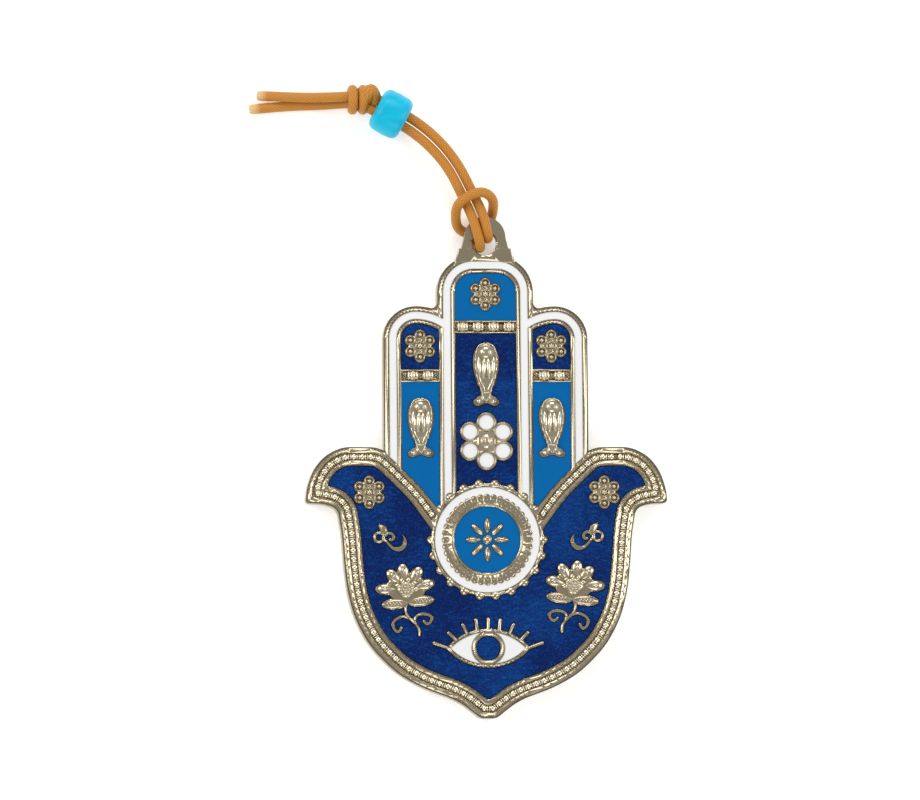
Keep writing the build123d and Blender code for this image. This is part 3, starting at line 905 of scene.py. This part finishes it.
@dataclass
class Rosettes:
    """Five rosettes, each of six cupped beads round a seventh."""

    places: tuple[tuple[float, float], ...] = (
        (0.0, 49.2), (13.20, 38.8), (-13.20, 38.8), (23.595, 9.505), (-23.595, 9.505),
    )
    ring_radius: float = 2.24
    cup_radius: float = 0.82
    cup_thickness: float = 0.15
    cup_z: float = FACE_Z + 0.02
    bead_half: Point = (0.47, 0.47, 0.62)
    bead_z: float = FACE_Z - 0.04
    heart_ring: float = 0.42
    heart_half: Point = (0.22, 0.22, 0.36)
    heart_z: float = FACE_Z + 0.10
    crown_z: float = FACE_Z + 0.18

    def build(self) -> list[bpy.types.Object]:
        """Sets the cups, the beads in them and the cluster in each seventh cup."""
        cups, beads, hearts = [], [], []
        for x, rise in self.places:
            y = MEDALLION_Y + rise
            for i in range(6):
                turn = math.radians(90 + 60 * i)
                across, along = math.cos(turn), math.sin(turn)
                cups.append(spot(x + self.ring_radius * across, y + self.ring_radius * along, self.cup_z))
                beads.append(spot(x + self.ring_radius * across, y + self.ring_radius * along, self.bead_z))
                hearts.append(spot(x + self.heart_ring * across, y + self.heart_ring * along, self.heart_z))
            hearts.append(spot(x, y, self.crown_z))
            cups.append(spot(x, y, self.cup_z))
        return [
            repeated("rosette_cups", ring_bead("cup", self.cup_radius, self.cup_thickness), cups),
            repeated("rosette_beads", dome("rosette_bead", self.bead_half, SUNK, 16), beads),
            repeated("rosette_hearts", dome("heart", self.heart_half, SUNK, 12), hearts),
        ]


@dataclass
class Fish:
    """Three fish in relief, each with a ridged outline, a domed head, four lobes, a fold and a forked tail.

    The fish lies along X from its nose. A place is where the nose is, and the length there.
    """

    width: float = 5.2
    outline_inset: float = 0.30
    places: tuple[tuple[float, float, float], ...] = (
        (0.0, 39.4, 12.6), (13.20, 28.3, 11.8), (-13.20, 28.3, 11.8),
    )
    foot_z: float = FACE_Z - 0.03
    body_shares: Outline = (
        (0.0, 0.05), (0.03, 0.55), (0.08, 0.76), (0.20, 0.93), (0.33, 0.97), (0.50, 0.85),
        (0.62, 0.66), (0.72, 0.48), (0.81, 0.36), (0.86, 0.30),
    )
    height: float = 0.42
    body_painted_shade: float = -0.55
    fold_painted_highlight: float = 0.5
    ridge: Outline = ((-1.0, 0.05), (-0.8, 0.17), (0.8, 0.17), (1.0, 0.05))
    ridge_height: float = 0.34
    ridge_z: float = 0.10
    ridge_overlap: float = 0.08
    head_half: Point = (1.30, 1.25, 0.62)
    head_place: Point = (1.9, 0.0, 0.38)
    eye_half: Point = (0.26, 0.26, 0.24)
    eye_place: Point = (2.0, 0.55, 0.86)
    lobe: Outline = ((-2.0, 0.08), (-1.5, 0.34), (-0.4, 0.46), (0.8, 0.42), (1.7, 0.22), (2.1, 0.04))
    lobe_height: float = 0.50
    lobe_rows: tuple[tuple[float, float, float, float], ...] = (
        (5.15, 0.48, 0.46, 3.0), (5.15, -0.48, 0.46, -3.0),
        (4.85, 1.42, 0.30, -3.0), (4.85, -1.42, 0.30, 3.0),
    )
    fold: Outline = ((-1.5, 0.06), (-1.0, 0.20), (0.9, 0.20), (1.5, 0.06))
    fold_height: float = 0.34
    fold_place: Point = (8.35, 0.80, 0.46)
    fold_turn: float = -22.0
    fluke: Outline = ((-1.1, 0.10), (-0.5, 0.38), (0.4, 0.48), (1.0, 0.30), (1.3, 0.05))
    fluke_height: float = 0.50
    fluke_place: Point = (11.25, 0.95, 0.0)
    fluke_turn: float = 38.0

    @staticmethod
    def _both_sides(place: Point, turn: float = 0.0) -> list[Matrix]:
        """A place on the fish and its mirror image, each with its turn."""
        x, y, z = place
        return [spot(x, side * y, z, side * turn) for side in (-1, 1)]

    def _edge(self, outline: Outline) -> bpy.types.Object:
        """Lays a ridge along each stretch of the body's outline.

        Args:
            outline: Places along the body and half widths there.

        Returns:
            The ridges as one piece.
        """
        ridge = turned_leaf("ridge", self.ridge, self.ridge_height, 10)
        places = []
        for (x0, w0), (x1, w1) in zip(outline, outline[1:]):
            turn = math.degrees(math.atan2(w1 - w0, x1 - x0))
            stretch = (math.hypot(x1 - x0, w1 - w0) / 2 + self.ridge_overlap, 1, 1)
            for side in (-1, 1):
                places.append(spot((x0 + x1) / 2, side * (w0 + w1) / 2, self.ridge_z, side * turn, stretch))
        return repeated("fish_edge", ridge, places)

    def build(self) -> list[bpy.types.Object]:
        """Models one fish and copies it to the three places, fitted to their lengths."""
        length = self.places[0][2]
        half = self.width / 2 - self.outline_inset
        outline = [(along * length, share * half) for along, share in self.body_shares]
        # The body is marked for painted shade
        body = painted_light_mark(turned_leaf("fish_body", outline, self.height, 24), self.body_painted_shade)
        edge = self._edge(outline)
        head = repeated("fish_head", dome("head", self.head_half, SUNK, 22), [spot(*self.head_place)])
        eyes = repeated("fish_eyes", dome("eye", self.eye_half, SUNK, 12), self._both_sides(self.eye_place))
        lobe = turned_leaf("lobe", self.lobe, self.lobe_height)
        lobes = repeated("fish_lobes", lobe, [spot(*row) for row in self.lobe_rows])
        fold = turned_leaf("fold", self.fold, self.fold_height, 10)
        folds = repeated("fish_folds", fold, self._both_sides(self.fold_place, self.fold_turn))
        fluke = turned_leaf("fluke", self.fluke, self.fluke_height)
        tail = repeated("fish_tail", fluke, self._both_sides(self.fluke_place, self.fluke_turn))
        # The lobes and folds are marked for painted highlight
        painted_light_mark(lobes, self.fold_painted_highlight)
        painted_light_mark(folds, self.fold_painted_highlight)
        fish = joined("fish", [body, edge, head, eyes, lobes, folds, tail])
        spots = [
            spot(x, MEDALLION_Y + y, self.foot_z, -90, (size / length, 1, 1)) for x, y, size in self.places
        ]
        return [repeated("fish_relief", fish, spots)]


@dataclass
class Flower:
    """A raised rim round each of the six white dots, and the ribbed barrel in their middle."""

    y: float = MEDALLION_Y + 19.7
    ring_radius: float = 3.8
    dot_radius: float = 1.56
    rim_gap: float = 0.17
    rim_thickness: float = 0.14
    rim_z: float = FACE_Z - 0.02
    barrel_half: Point = (1.55, 1.75, 0.95)
    barrel_z: float = FACE_Z - 0.25
    rib_half: Point = (0.24, 1.45, 0.78)
    rib_z: float = FACE_Z + 0.05
    ribs: tuple[tuple[float, float], ...] = ((-0.95, 0.72), (-0.32, 1), (0.32, 1), (0.95, 0.72))

    def build(self) -> list[bpy.types.Object]:
        """Sets the rims, the barrel and its ribs, which are shorter at its sides."""
        turns = [math.radians(90 + 60 * i) for i in range(6)]
        rims = [
            spot(self.ring_radius * math.cos(t), self.y + self.ring_radius * math.sin(t), self.rim_z)
            for t in turns
        ]
        barrel = dome("barrel", self.barrel_half, SUNK, 24)
        ribs = [spot(x, self.y, self.rib_z, 0, (1, tall, 1)) for x, tall in self.ribs]
        rim = ring_bead("dot_rim", self.dot_radius + self.rim_gap, self.rim_thickness, 28)
        return [
            repeated("flower_rims", rim, rims),
            repeated("flower_barrel", barrel, [spot(0, self.y, self.barrel_z)]),
            repeated("flower_ribs", dome("barrel_rib", self.rib_half, SUNK, 12), ribs),
        ]


@dataclass
class Medallion:
    """The medallion's bright inner rim, its ring of dots, and the eight-petal star."""

    rim_radius: float = 6.95
    rim_thickness: float = 0.15
    rim_z: float = FACE_Z - 0.02
    dot_count: int = 40
    dot_ring: float = 8.02
    dot_half: Point = (0.21, 0.21, 0.26)
    dot_sunk: float = 0.05
    petal_count: int = 8
    petal: Outline = ((-1.25, 0.04), (-0.7, 0.30), (0.1, 0.45), (0.8, 0.36), (1.3, 0.05))
    petal_height: float = 0.34
    petal_ring: float = 2.85
    petal_z: float = FACE_Z - 0.04
    heart_half: Point = (0.78, 0.78, 0.45)
    heart_z: float = FACE_Z - 0.06

    def ring(self, count: int, radius: float, z: float) -> list[Matrix]:
        """Even places round the medallion.

        Args:
            count: How many.
            radius: Their distance from the middle in millimetres.
            z: Their height.

        Returns:
            The places, each turned outwards.
        """
        turns = [360 * i / count for i in range(count)]
        return [
            spot(radius * math.cos(math.radians(t)), MEDALLION_Y + radius * math.sin(math.radians(t)), z, t)
            for t in turns
        ]

    def build(self) -> list[bpy.types.Object]:
        """Sets the rim, the dots and the star."""
        petal = turned_leaf("petal", self.petal, self.petal_height)
        dots = self.ring(self.dot_count, self.dot_ring, self.rim_z)
        petals = self.ring(self.petal_count, self.petal_ring, self.petal_z)
        rim = ring_bead("rim", self.rim_radius, self.rim_thickness, 96)
        heart = dome("star_heart_bead", self.heart_half, SUNK, 18)
        return [
            repeated("medallion_rim", rim, [spot(0, MEDALLION_Y, self.rim_z)]),
            repeated("medallion_dots", dome("dot", self.dot_half, self.dot_sunk, 10), dots),
            repeated("star_petals", petal, petals),
            repeated("star_heart", heart, [spot(0, MEDALLION_Y, self.heart_z)]),
        ]


@dataclass
class Lotuses:
    """Two lotuses: petals with a bead in each, a ring of small petals, seeds and two veined leaves.

    Its shares are parts of the reach, from the middle of the lotus's foot.
    """

    reach: float = 6.3
    places: tuple[tuple[float, float, int], ...] = ((17.10, -12.21, 1), (-16.10, -12.82, -1))
    foot_z: float = FACE_Z - 0.04
    heart_share: tuple[float, float] = (0.03, 0.46)
    root_share: float = 0.30
    petal_shares: tuple[tuple[float, float], ...] = (
        (80.0, 0.82), (45.0, 0.86), (123.0, 0.84), (1.0, 0.99), (166.0, 0.92),
    )
    petal: Outline = (
        (-1.7, 0.30), (-0.9, 0.78), (0.1, 1.06), (0.9, 0.98), (1.4, 0.66), (1.65, 0.30), (1.75, 0.05),
    )
    petal_height: float = 0.50
    petal_out_share: float = 0.01
    bead_half: Point = (0.68, 0.42, 0.42)
    bead_out_share: float = 0.05
    bead_z: float = 0.38
    leaf: Outline = ((-2.5, 0.20), (-1.4, 0.74), (0.2, 0.98), (1.4, 0.74), (2.3, 0.28), (2.55, 0.05))
    leaf_height: float = 0.36
    leaf_root_share: tuple[float, float] = (-0.02, 0.04)
    leaf_tip_shares: tuple[tuple[float, float], ...] = ((0.82, -0.03), (-0.85, 0.15))
    vein_half: Point = (0.50, 0.16, 0.28)
    vein_shares: tuple[float, ...] = (0.30, 0.42, 0.54, 0.66, 0.78)
    vein_turn: float = 65.0
    vein_z: float = 0.26
    inner_half: Point = (0.70, 0.52, 0.50)
    inner_angles: tuple[float, ...] = (22, 62, 100, 140, 178)
    inner_share: float = 0.30
    inner_z: float = 0.20
    disc_half: Point = (1.9, 1.7, 0.55)
    seed_half: Point = (0.25, 0.25, 0.34)
    seed_rings: tuple[tuple[float, int], ...] = ((0.0, 1), (0.10, 6), (0.19, 11))
    seed_z: float = 0.36
    small_sunk: float = 0.05

    def at(self, angle: float, share: float, z: float) -> Matrix:
        """A place round the lotus's heart, turned outwards.

        Args:
            angle: Its angle in degrees.
            share: Its distance as a share of the reach.
            z: Its height over the face.

        Returns:
            The place.
        """
        radius = share * self.reach
        x = self.heart_share[0] * self.reach + radius * math.cos(math.radians(angle))
        y = self.heart_share[1] * self.reach + radius * math.sin(math.radians(angle))
        return spot(x, y, z, angle)

    def on_leaf(self, tip: tuple[float, float], share: float, z: float, turn: float = 0.0) -> Matrix:
        """A place on a leaf, turned along the leaf.

        Args:
            tip: The leaf's tip.
            share: The share of the way to the tip.
            z: Its height over the face.
            turn: A further turn in degrees.

        Returns:
            The place.
        """
        way = Vector(tip) - Vector(self.leaf_root_share)
        x, y = (Vector(self.leaf_root_share) + way * share) * self.reach
        return spot(x, y, z, math.degrees(math.atan2(way.y, way.x)) + turn)

    def _petals(self) -> list[bpy.types.Object]:
        """The large petals and their beads."""
        middles = [(angle, (self.root_share + share) / 2) for angle, share in self.petal_shares]
        petals = [self.at(angle, share + self.petal_out_share, 0.0) for angle, share in middles]
        beads = [self.at(angle, share + self.bead_out_share, self.bead_z) for angle, share in middles]
        return [
            repeated("lotus_petals", turned_leaf("petal", self.petal, self.petal_height, 18), petals),
            repeated("lotus_beads", dome("lotus_bead", self.bead_half, SUNK, 14), beads),
        ]

    def _leaves(self) -> list[bpy.types.Object]:
        """The two leaves and their veins."""
        leaves = [self.on_leaf(tip, 0.5, 0.0) for tip in self.leaf_tip_shares]
        veins = [
            self.on_leaf(tip, share, self.vein_z, self.vein_turn)
            for tip in self.leaf_tip_shares
            for share in self.vein_shares
        ]
        return [
            repeated("lotus_leaves", turned_leaf("leaf", self.leaf, self.leaf_height, 16), leaves),
            repeated("lotus_veins", dome("vein", self.vein_half, self.small_sunk, 10), veins),
        ]

    def _heart(self) -> list[bpy.types.Object]:
        """The ring of small petals, and the disc with its seeds."""
        inner = [self.at(angle, self.inner_share, self.inner_z) for angle in self.inner_angles]
        seeds = [
            self.at(360 * i / count, share, self.seed_z)
            for share, count in self.seed_rings
            for i in range(count)
        ]
        return [
            repeated("lotus_inner", dome("inner", self.inner_half, SUNK, 14), inner),
            repeated("lotus_heart", dome("lotus_disc", self.disc_half, SUNK, 22), [self.at(0, 0.0, 0.0)]),
            repeated("lotus_seeds", dome("seed", self.seed_half, self.small_sunk, 10), seeds),
        ]

    def build(self) -> list[bpy.types.Object]:
        """Models one lotus that leans to +X and sets it and its mirror image."""
        lotus = joined("lotus", self._petals() + self._leaves() + self._heart())
        spots = [
            spot(x, MEDALLION_Y + rise, self.foot_z, 0, (side, 1, 1)) for x, rise, side in self.places
        ]
        return [repeated("lotus_relief", lotus, spots)]


@dataclass
class Casting:
    """The whole casting: its plate and every raised ornament on it."""

    def build(self, shop: PaintShop) -> None:
        """Builds the plate and the ornaments and puts nickel on them.

        Args:
            shop: Where the finishes come from.
        """
        plate_maker = CastingPlate()
        beads = plate_maker.bead_places()
        log.info("border beads: %d", len(beads))
        pieces = [plate_maker.build()]
        pieces += BeadedBorder().build(beads)
        for ornament in (FingerBars(), Rosettes(), Fish(), Flower(), Medallion(), Lotuses()):
            pieces += ornament.build()
        for piece in pieces:
            shop.dress(piece, Finish.METAL)
            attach(piece, "hand")
            report(piece)
        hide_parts("hand_casting")


# Enamel


@dataclass
class EnamelFill:
    """Enamel in one or more cells: it climbs a little at its walls and dips between them."""

    node: str
    finish: Finish
    climb: float = 0.22
    dip: float = 0.06
    surface: float = 3.88
    rim_depth: float = 0.01
    smooth_angle: float = 18.0

    def build(self, shop: PaintShop) -> None:
        """Makes the fill from the cell's solid and dresses it.

        Args:
            shop: Where the finish comes from.
        """
        fill = copy_of_node(self.node, self.node.replace("enamel_", "fill_"))
        top = mm(self.surface)
        with editing(fill):
            choose(fill, "faces", lambda f: all(abs(v.co.z - top) < mm(SAME_FACE) for v in f.verts))
            bpy.ops.mesh.inset(thickness=mm(self.climb), depth=-mm(self.dip), use_even_offset=False)
            choose(fill, "faces", lambda f: self._turned_over(f, top))
            bpy.ops.mesh.delete(type="ONLY_FACE")
        self._mark_rim(fill, top)
        smooth(fill, self.smooth_angle)
        shop.dress(fill, self.finish)
        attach(fill, "hand")
        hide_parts(self.node)
        report(fill)

    def _turned_over(self, face: bmesh.types.BMFace, top: float) -> bool:
        """Whether a face of the dipped surface was turned over when its edges moved inwards.

        Args:
            face: The face.
            top: The surface's height before it dipped, in metres.

        Returns:
            True for a face that no longer looks up.
        """
        face.normal_update()
        dipped = all(abs(v.co.z - top + mm(self.dip)) < mm(SAME_FACE) for v in face.verts)
        return dipped and face.normal.z < 0.5

    def _mark_rim(self, fill: bpy.types.Object, top: float) -> None:
        """Writes which corners are at the walls, where the finish paints a darker line, partly painted shadow
        of the walls and partly thicker enamel.

        Args:
            fill: The enamel.
            top: The height of its edge in metres.
        """
        rim = fill.data.attributes.new("rim", "FLOAT", "POINT")
        for vertex, item in zip(fill.data.vertices, rim.data):
            height = vertex.co.z
            at_wall = height > top - mm(self.rim_depth) or height < top - mm(self.dip * 2)
            item.value = 1.0 if at_wall else 0.0


@dataclass
class Enamel:
    """Every enamel fill of the ornament."""

    def build(self, shop: PaintShop) -> None:
        """Fills all the cells.

        Args:
            shop: Where the finishes come from.
        """
        cells = {
            Finish.WHITE: (
                "enamel_white_finger_border", "enamel_white_ring", "enamel_eye_white_left",
                "enamel_eye_white_right", "enamel_flower_dots",
            ),
            Finish.LIGHT_BLUE: (
                "enamel_middle_top_panel", "enamel_left_lower_panel", "enamel_right_lower_panel",
                "enamel_centre_disc",
            ),
            Finish.DARK_BLUE: (
                "enamel_middle_long_panel", "enamel_left_top_panel", "enamel_right_top_panel",
                "enamel_palm", "enamel_iris",
            ),
        }
        for finish, nodes in cells.items():
            for node in nodes:
                EnamelFill(node, finish).build(shop)


# Cord and bead


@dataclass
class Strand:
    """One length of the cord: a braided tube along a smooth line, with its ends rounded off.

    The route is in millimetres from the eyelet's middle. The last millimetre or so before a cut end is
    marked for the finish, which shows it paler.
    """

    name: str
    route: Sequence[Point]
    diameter: float = 2.0
    around: int = 20
    spacing: float = 0.28
    cut_length: float = 0.0
    cut_strength: float = 1.6
    cap: tuple[tuple[float, float], ...] = ((0.90, 0.16), (0.62, 0.30), (0.28, 0.36))

    def line(self) -> list[Vector]:
        """The strand's centre line as evenly spaced points in metres.

        Returns:
            The points from one end to the other.
        """
        curve = bpy.data.curves.new(self.name + "_line", "CURVE")
        curve.dimensions = "3D"
        spline = curve.splines.new("NURBS")
        spline.points.add(len(self.route) - 1)
        for item, (x, y, z) in zip(spline.points, self.route):
            item.co = (mm(x), mm(y + EYELET_Y), mm(z), 1.0)
        spline.order_u = 3
        spline.use_endpoint_u = True
        spline.resolution_u = 24
        holder = bpy.data.objects.new(self.name + "_line", curve)
        bpy.context.scene.collection.objects.link(holder)
        bpy.context.view_layer.update()
        mesh = bpy.data.meshes.new_from_object(holder.evaluated_get(bpy.context.evaluated_depsgraph_get()))
        points = [vertex.co.copy() for vertex in mesh.vertices]
        bpy.data.objects.remove(holder)
        return self._evened(points)

    def _evened(self, points: Sequence[Vector]) -> list[Vector]:
        """The same line with its points at even distances.

        Args:
            points: The line's points.

        Returns:
            New points on the same line.
        """
        lengths = [0.0]
        for before, here in zip(points, points[1:]):
            lengths.append(lengths[-1] + (here - before).length)
        count = max(8, round(lengths[-1] / mm(self.spacing)))
        evened, i = [], 0
        for step in range(count + 1):
            wanted = lengths[-1] * step / count
            while i < len(lengths) - 2 and lengths[i + 1] < wanted:
                i += 1
            share = (wanted - lengths[i]) / max(1e-9, lengths[i + 1] - lengths[i])
            evened.append(points[i].lerp(points[i + 1], min(1.0, share)))
        return evened

    def build(self, shop: PaintShop) -> tuple[bpy.types.Object, list[Vector]]:
        """Sweeps the tube and dresses it.

        Args:
            shop: Where the finish comes from.

        Returns:
            The strand and the points of its centre line.
        """
        line = self.line()
        shape = bmesh.new()
        layer = shape.loops.layers.uv.new("along")
        radius = mm(self.diameter / 2)
        last = len(line) - 1
        tangents = [(line[min(i + 1, last)] - line[max(i - 1, 0)]).normalized() for i in range(len(line))]
        turns = [2 * math.pi * k / self.around for k in range(self.around)]
        side = tangents[0].orthogonal().normalized()
        rings, marks, reached = [], [], 0.0
        for i, (centre, tangent) in enumerate(zip(line, tangents)):
            side = (side - tangent * side.dot(tangent)).normalized()
            up = tangent.cross(side)
            reached += (centre - line[i - 1]).length if i else 0.0
            marks.append(reached)
            ways = [side * math.cos(t) + up * math.sin(t) for t in turns]
            rings.append([shape.verts.new(centre + way * radius) for way in ways])
        for i in range(len(rings) - 1):
            for k in range(self.around):
                after = (k + 1) % self.around
                face = shape.faces.new((rings[i][k], rings[i][after], rings[i + 1][after], rings[i + 1][k]))
                face.smooth = True
                corners = ((k, i), (k + 1, i), (k + 1, i + 1), (k, i + 1))
                for loop, (u, v) in zip(face.loops, corners):
                    loop[layer].uv = (u / self.around, marks[v])
        self._close(shape, layer, rings[0], line[0], -tangents[0] * radius)
        self._close(shape, layer, rings[-1], line[-1], tangents[-1] * radius)
        bmesh.ops.recalc_face_normals(shape, faces=shape.faces)
        mesh = bpy.data.meshes.new(self.name)
        shape.to_mesh(mesh)
        shape.free()
        self._mark_cut(mesh, line[-1])
        strand = bpy.data.objects.new(self.name, mesh)
        bpy.context.scene.collection.objects.link(strand)
        shop.dress(strand, Finish.CORD)
        report(strand)
        return strand, line

    def _mark_cut(self, mesh: bpy.types.Mesh, end: Vector) -> None:
        """Writes how near each corner is to the strand's cut end, if it has one.

        Args:
            mesh: The strand's mesh.
            end: The last point of its centre line.
        """
        cut = mesh.attributes.new("cut", "FLOAT", "POINT")
        reach = mm(self.cut_length + self.diameter / 2)
        for vertex, item in zip(mesh.vertices, cut.data):
            near = self.cut_strength * (1.0 - (vertex.co - end).length / reach)
            item.value = max(0.0, min(1.0, near)) if self.cut_length else 0.0

    def _close(
        self,
        shape: bmesh.types.BMesh,
        layer: bmesh.types.BMLayerItem,
        ring: Sequence[bmesh.types.BMVert],
        centre: Vector,
        outwards: Vector,
    ) -> None:
        """Ends the tube in a low cap with a soft shoulder.

        Args:
            shape: The tube's mesh.
            layer: Its map.
            ring: The tube's last ring.
            centre: The middle of that ring.
            outwards: The way out of the tube, as long as its radius.
        """
        last = list(ring)
        for share, rise in self.cap:
            new = [shape.verts.new(centre + (v.co - centre) * share + outwards * rise) for v in ring]
            for k in range(len(ring)):
                after = (k + 1) % len(ring)
                face = shape.faces.new((last[k], last[after], new[after], new[k]))
                face.smooth = True
                for loop, u in zip(face.loops, (k, k + 1, k + 1, k)):
                    loop[layer].uv = (u / self.around, 0.0)
            last = new
        shape.faces.new(last).smooth = True


@dataclass
class Cord:
    """The waxed cord: two strands from the hitch at the eyelet, and their knot beyond the bead.

    Both strands start at the crown of the hitch, and each has its own way to its cut end.
    """

    inner: tuple[Point, ...] = (
        (-3.55, 9.15, 7.18), (-5.90, 7.90, 7.10), (-5.80, 4.50, 2.60), (-4.75, 2.85, 1.08),
        (-2.20, 2.00, 1.15), (-0.89, -0.79, 1.15), (-0.89, -0.79, 5.25), (-2.45, 5.05, 5.25),
        (-4.7, 9.8, 4.75), (-6.93, 14.51, 4.5), (-10.20, 18.69, 4.5), (-14.33, 22.31, 4.5),
        (-19.08, 25.05, 4.5), (-25.0, 27.9, 4.5),
        (-27.0, 28.3, 2.6), (-33.0, 28.0, 1.3), (-39.6, 27.85, 1.1), (-46.6, 27.1, 1.1),
    )
    outer: tuple[Point, ...] = (
        (-3.55, 9.15, 7.18), (-1.20, 10.40, 7.25), (1.75, 9.00, 5.40), (1.95, 6.30, 1.40),
        (0.90, 3.60, 1.15), (0.66, 1.06, 1.15), (0.66, 1.06, 5.25), (-0.40, 5.70, 5.25),
        (-2.7, 10.6, 4.75), (-5.1, 15.6, 4.5), (-8.6, 20.2, 4.5), (-13.05, 24.1, 4.5),
        (-18.15, 27.1, 4.5), (-23.7, 30.1, 4.5),
        (-26.8, 29.4, 4.6), (-33.2, 29.2, 3.95), (-39.2, 29.4, 2.85), (-45.0, 29.9, 1.15),
    )
    lobe: tuple[Point, ...] = (
        (-24.2, 27.4, 3.2), (-23.7, 29.4, 6.0), (-22.9, 30.9, 5.8), (-22.0, 29.6, 5.0), (-21.8, 28.1, 4.4),
    )
    lobe_diameter: float = 2.6
    cut_length: float = 1.2
    knot_place: Point = (-26.4, 28.85, 3.9)
    wrap_radius: float = 2.05
    wrap_gap: float = 2.1
    wrap_steps: int = 32
    crossing_start_share: float = 0.40
    crossing_share: float = 0.20

    def knot_route(self) -> list[Point]:
        """The wraps of the knot: two upright turns side by side, joined below.

        Returns:
            The route's points.
        """
        points = []
        x, y, z = self.knot_place
        for i in range(self.wrap_steps + 1):
            share = i / self.wrap_steps
            turn = math.radians(-90 + 720 * share)
            crossed = min(1.0, max(0.0, (share - self.crossing_start_share) / self.crossing_share))
            across, up = self.wrap_radius * math.cos(turn), self.wrap_radius * math.sin(turn)
            points.append((x + crossed * self.wrap_gap, y + across, z + up))
        return points

    def build(self, shop: PaintShop) -> None:
        """Args:
            shop: Where the finish comes from.
        """
        wraps, _ = Strand("knot_wraps", self.knot_route()).build(shop)
        lobe, _ = Strand("knot_lobe", self.lobe, self.lobe_diameter).build(shop)
        inner, inner_line = Strand("cord_inner_strand", self.inner, cut_length=self.cut_length).build(shop)
        outer, outer_line = Strand("cord_outer_strand", self.outer, cut_length=self.cut_length).build(shop)
        for piece in (wraps, lobe, inner, outer):
            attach(piece, "cord")
        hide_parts("cord_leg_inner", "cord_tail_lower", "cord_hitch")
        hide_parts("cord_leg_outer", "cord_tail_upper", "cord_hitch")
        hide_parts("cord_knot")
        for piece, line, extra in ((inner, inner_line, ["bead", wraps, lobe]), (outer, outer_line, [])):
            length = sum((b - a).length for a, b in zip(line, line[1:]))
            log.info("%s: %.1f mm long", piece.name, length * 1000)
            mm(EYELET_Y)
            mm(3.2)
            mm(2.0)


# Studio


@dataclass
class Studio:
    """The pale board, the lights and the camera, which looks almost straight down.

    Each lamp has its name, its place, its width and height, its power in watts and its colour.
    """

    board_side: float = 3000.0
    sky_colour: Point = (1.0, 0.99, 0.97)
    sky_strength: float = 0.42
    lamps: tuple[tuple[str, Point, tuple[float, float], float, Point], ...] = (
        ("left", (-420, 120, 330), (240, 360), 1.15, (1.0, 0.99, 0.97)),
        ("right", (430, 40, 330), (240, 360), 0.90, (0.98, 0.99, 1.0)),
        ("far", (0, 460, 330), (360, 240), 1.05, (1.0, 1.0, 1.0)),
        ("near", (0, -440, 330), (360, 240), 0.75, (1.0, 0.99, 0.97)),
    )
    aim: Point = (-5.27, 13.38, 4.0)
    distance: float = 1600.0
    lean_x: float = -171.0
    lean_y: float = -135.0
    roll: float = 0.49
    frame_width: float = 183.7
    sensor_width: float = 36.0

    def build(self) -> None:
        """Sets the board, the lights and the camera."""
        self._board()
        self._sky()
        for lamp in self.lamps:
            self._light(*lamp)
        self._camera()

    def _board(self) -> None:
        """Lays a board that reaches far outside the view."""
        clear_selection()
        bpy.ops.mesh.primitive_plane_add(size=mm(self.board_side))
        board = named("board")
        with editing(board):
            bpy.ops.mesh.select_all(action="SELECT")
            bpy.ops.mesh.subdivide(number_cuts=3)
        board.data.materials.append(PaleBoard().make())

    def _sky(self) -> None:
        """An even pale surround."""
        world = bpy.data.worlds.new("studio")
        world.use_nodes = True
        background = world.node_tree.nodes["Background"]
        background.inputs["Color"].default_value = (*self.sky_colour, 1.0)
        background.inputs["Strength"].default_value = self.sky_strength
        bpy.context.scene.world = world

    def _light(self, name: str, place: Point, size: tuple[float, float], watts: float, colour: Point) -> None:
        """Hangs a soft box that faces the ornament.

        Args:
            name: Its name.
            place: Its middle in millimetres.
            size: Its width and height.
            watts: Its power.
            colour: Its colour.
        """
        data = bpy.data.lights.new(name, "AREA")
        data.shape = "RECTANGLE"
        data.size, data.size_y = mm(size[0]), mm(size[1])
        data.energy = watts
        data.color = colour
        lamp = bpy.data.objects.new(name, data)
        bpy.context.scene.collection.objects.link(lamp)
        lamp.location = Vector([mm(v) for v in place])
        lamp.rotation_euler = (-lamp.location).to_track_quat("-Z", "Y").to_euler()

    def _camera(self) -> None:
        """Hangs the camera over the ornament, leaning by lean_x and lean_y over its distance."""
        data = bpy.data.cameras.new("camera")
        data.sensor_width = self.sensor_width
        data.lens = self.sensor_width * self.distance / self.frame_width
        data.clip_start = mm(10.0)
        camera = bpy.data.objects.new("camera", data)
        bpy.context.scene.collection.objects.link(camera)
        back = Vector((self.lean_x, self.lean_y, self.distance)).normalized()
        across = Vector((0, 1, 0)).cross(back).normalized()
        facing = Matrix((across, back.cross(across), back)).transposed().to_4x4()
        camera.location = (Vector(self.aim) + back * self.distance) * mm(1.0)
        camera.rotation_euler = (facing @ Matrix.Rotation(math.radians(-self.roll), 4, "Z")).to_euler()
        bpy.context.scene.camera = camera
        bpy.context.scene.view_settings.view_transform = "Standard"


def main() -> None:
    """Builds the ornament and its studio."""
    logging.basicConfig(level=logging.INFO, format="%(message)s")
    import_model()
    shop = PaintShop()
    Casting().build(shop)
    Enamel().build(shop)
    Cord().build(shop)
    bead = bpy.data.objects["bead"]
    shop.dress(bead, Finish.BEAD)
    report(bead)
    Studio().build()


if __name__ == "__main__":
    main()
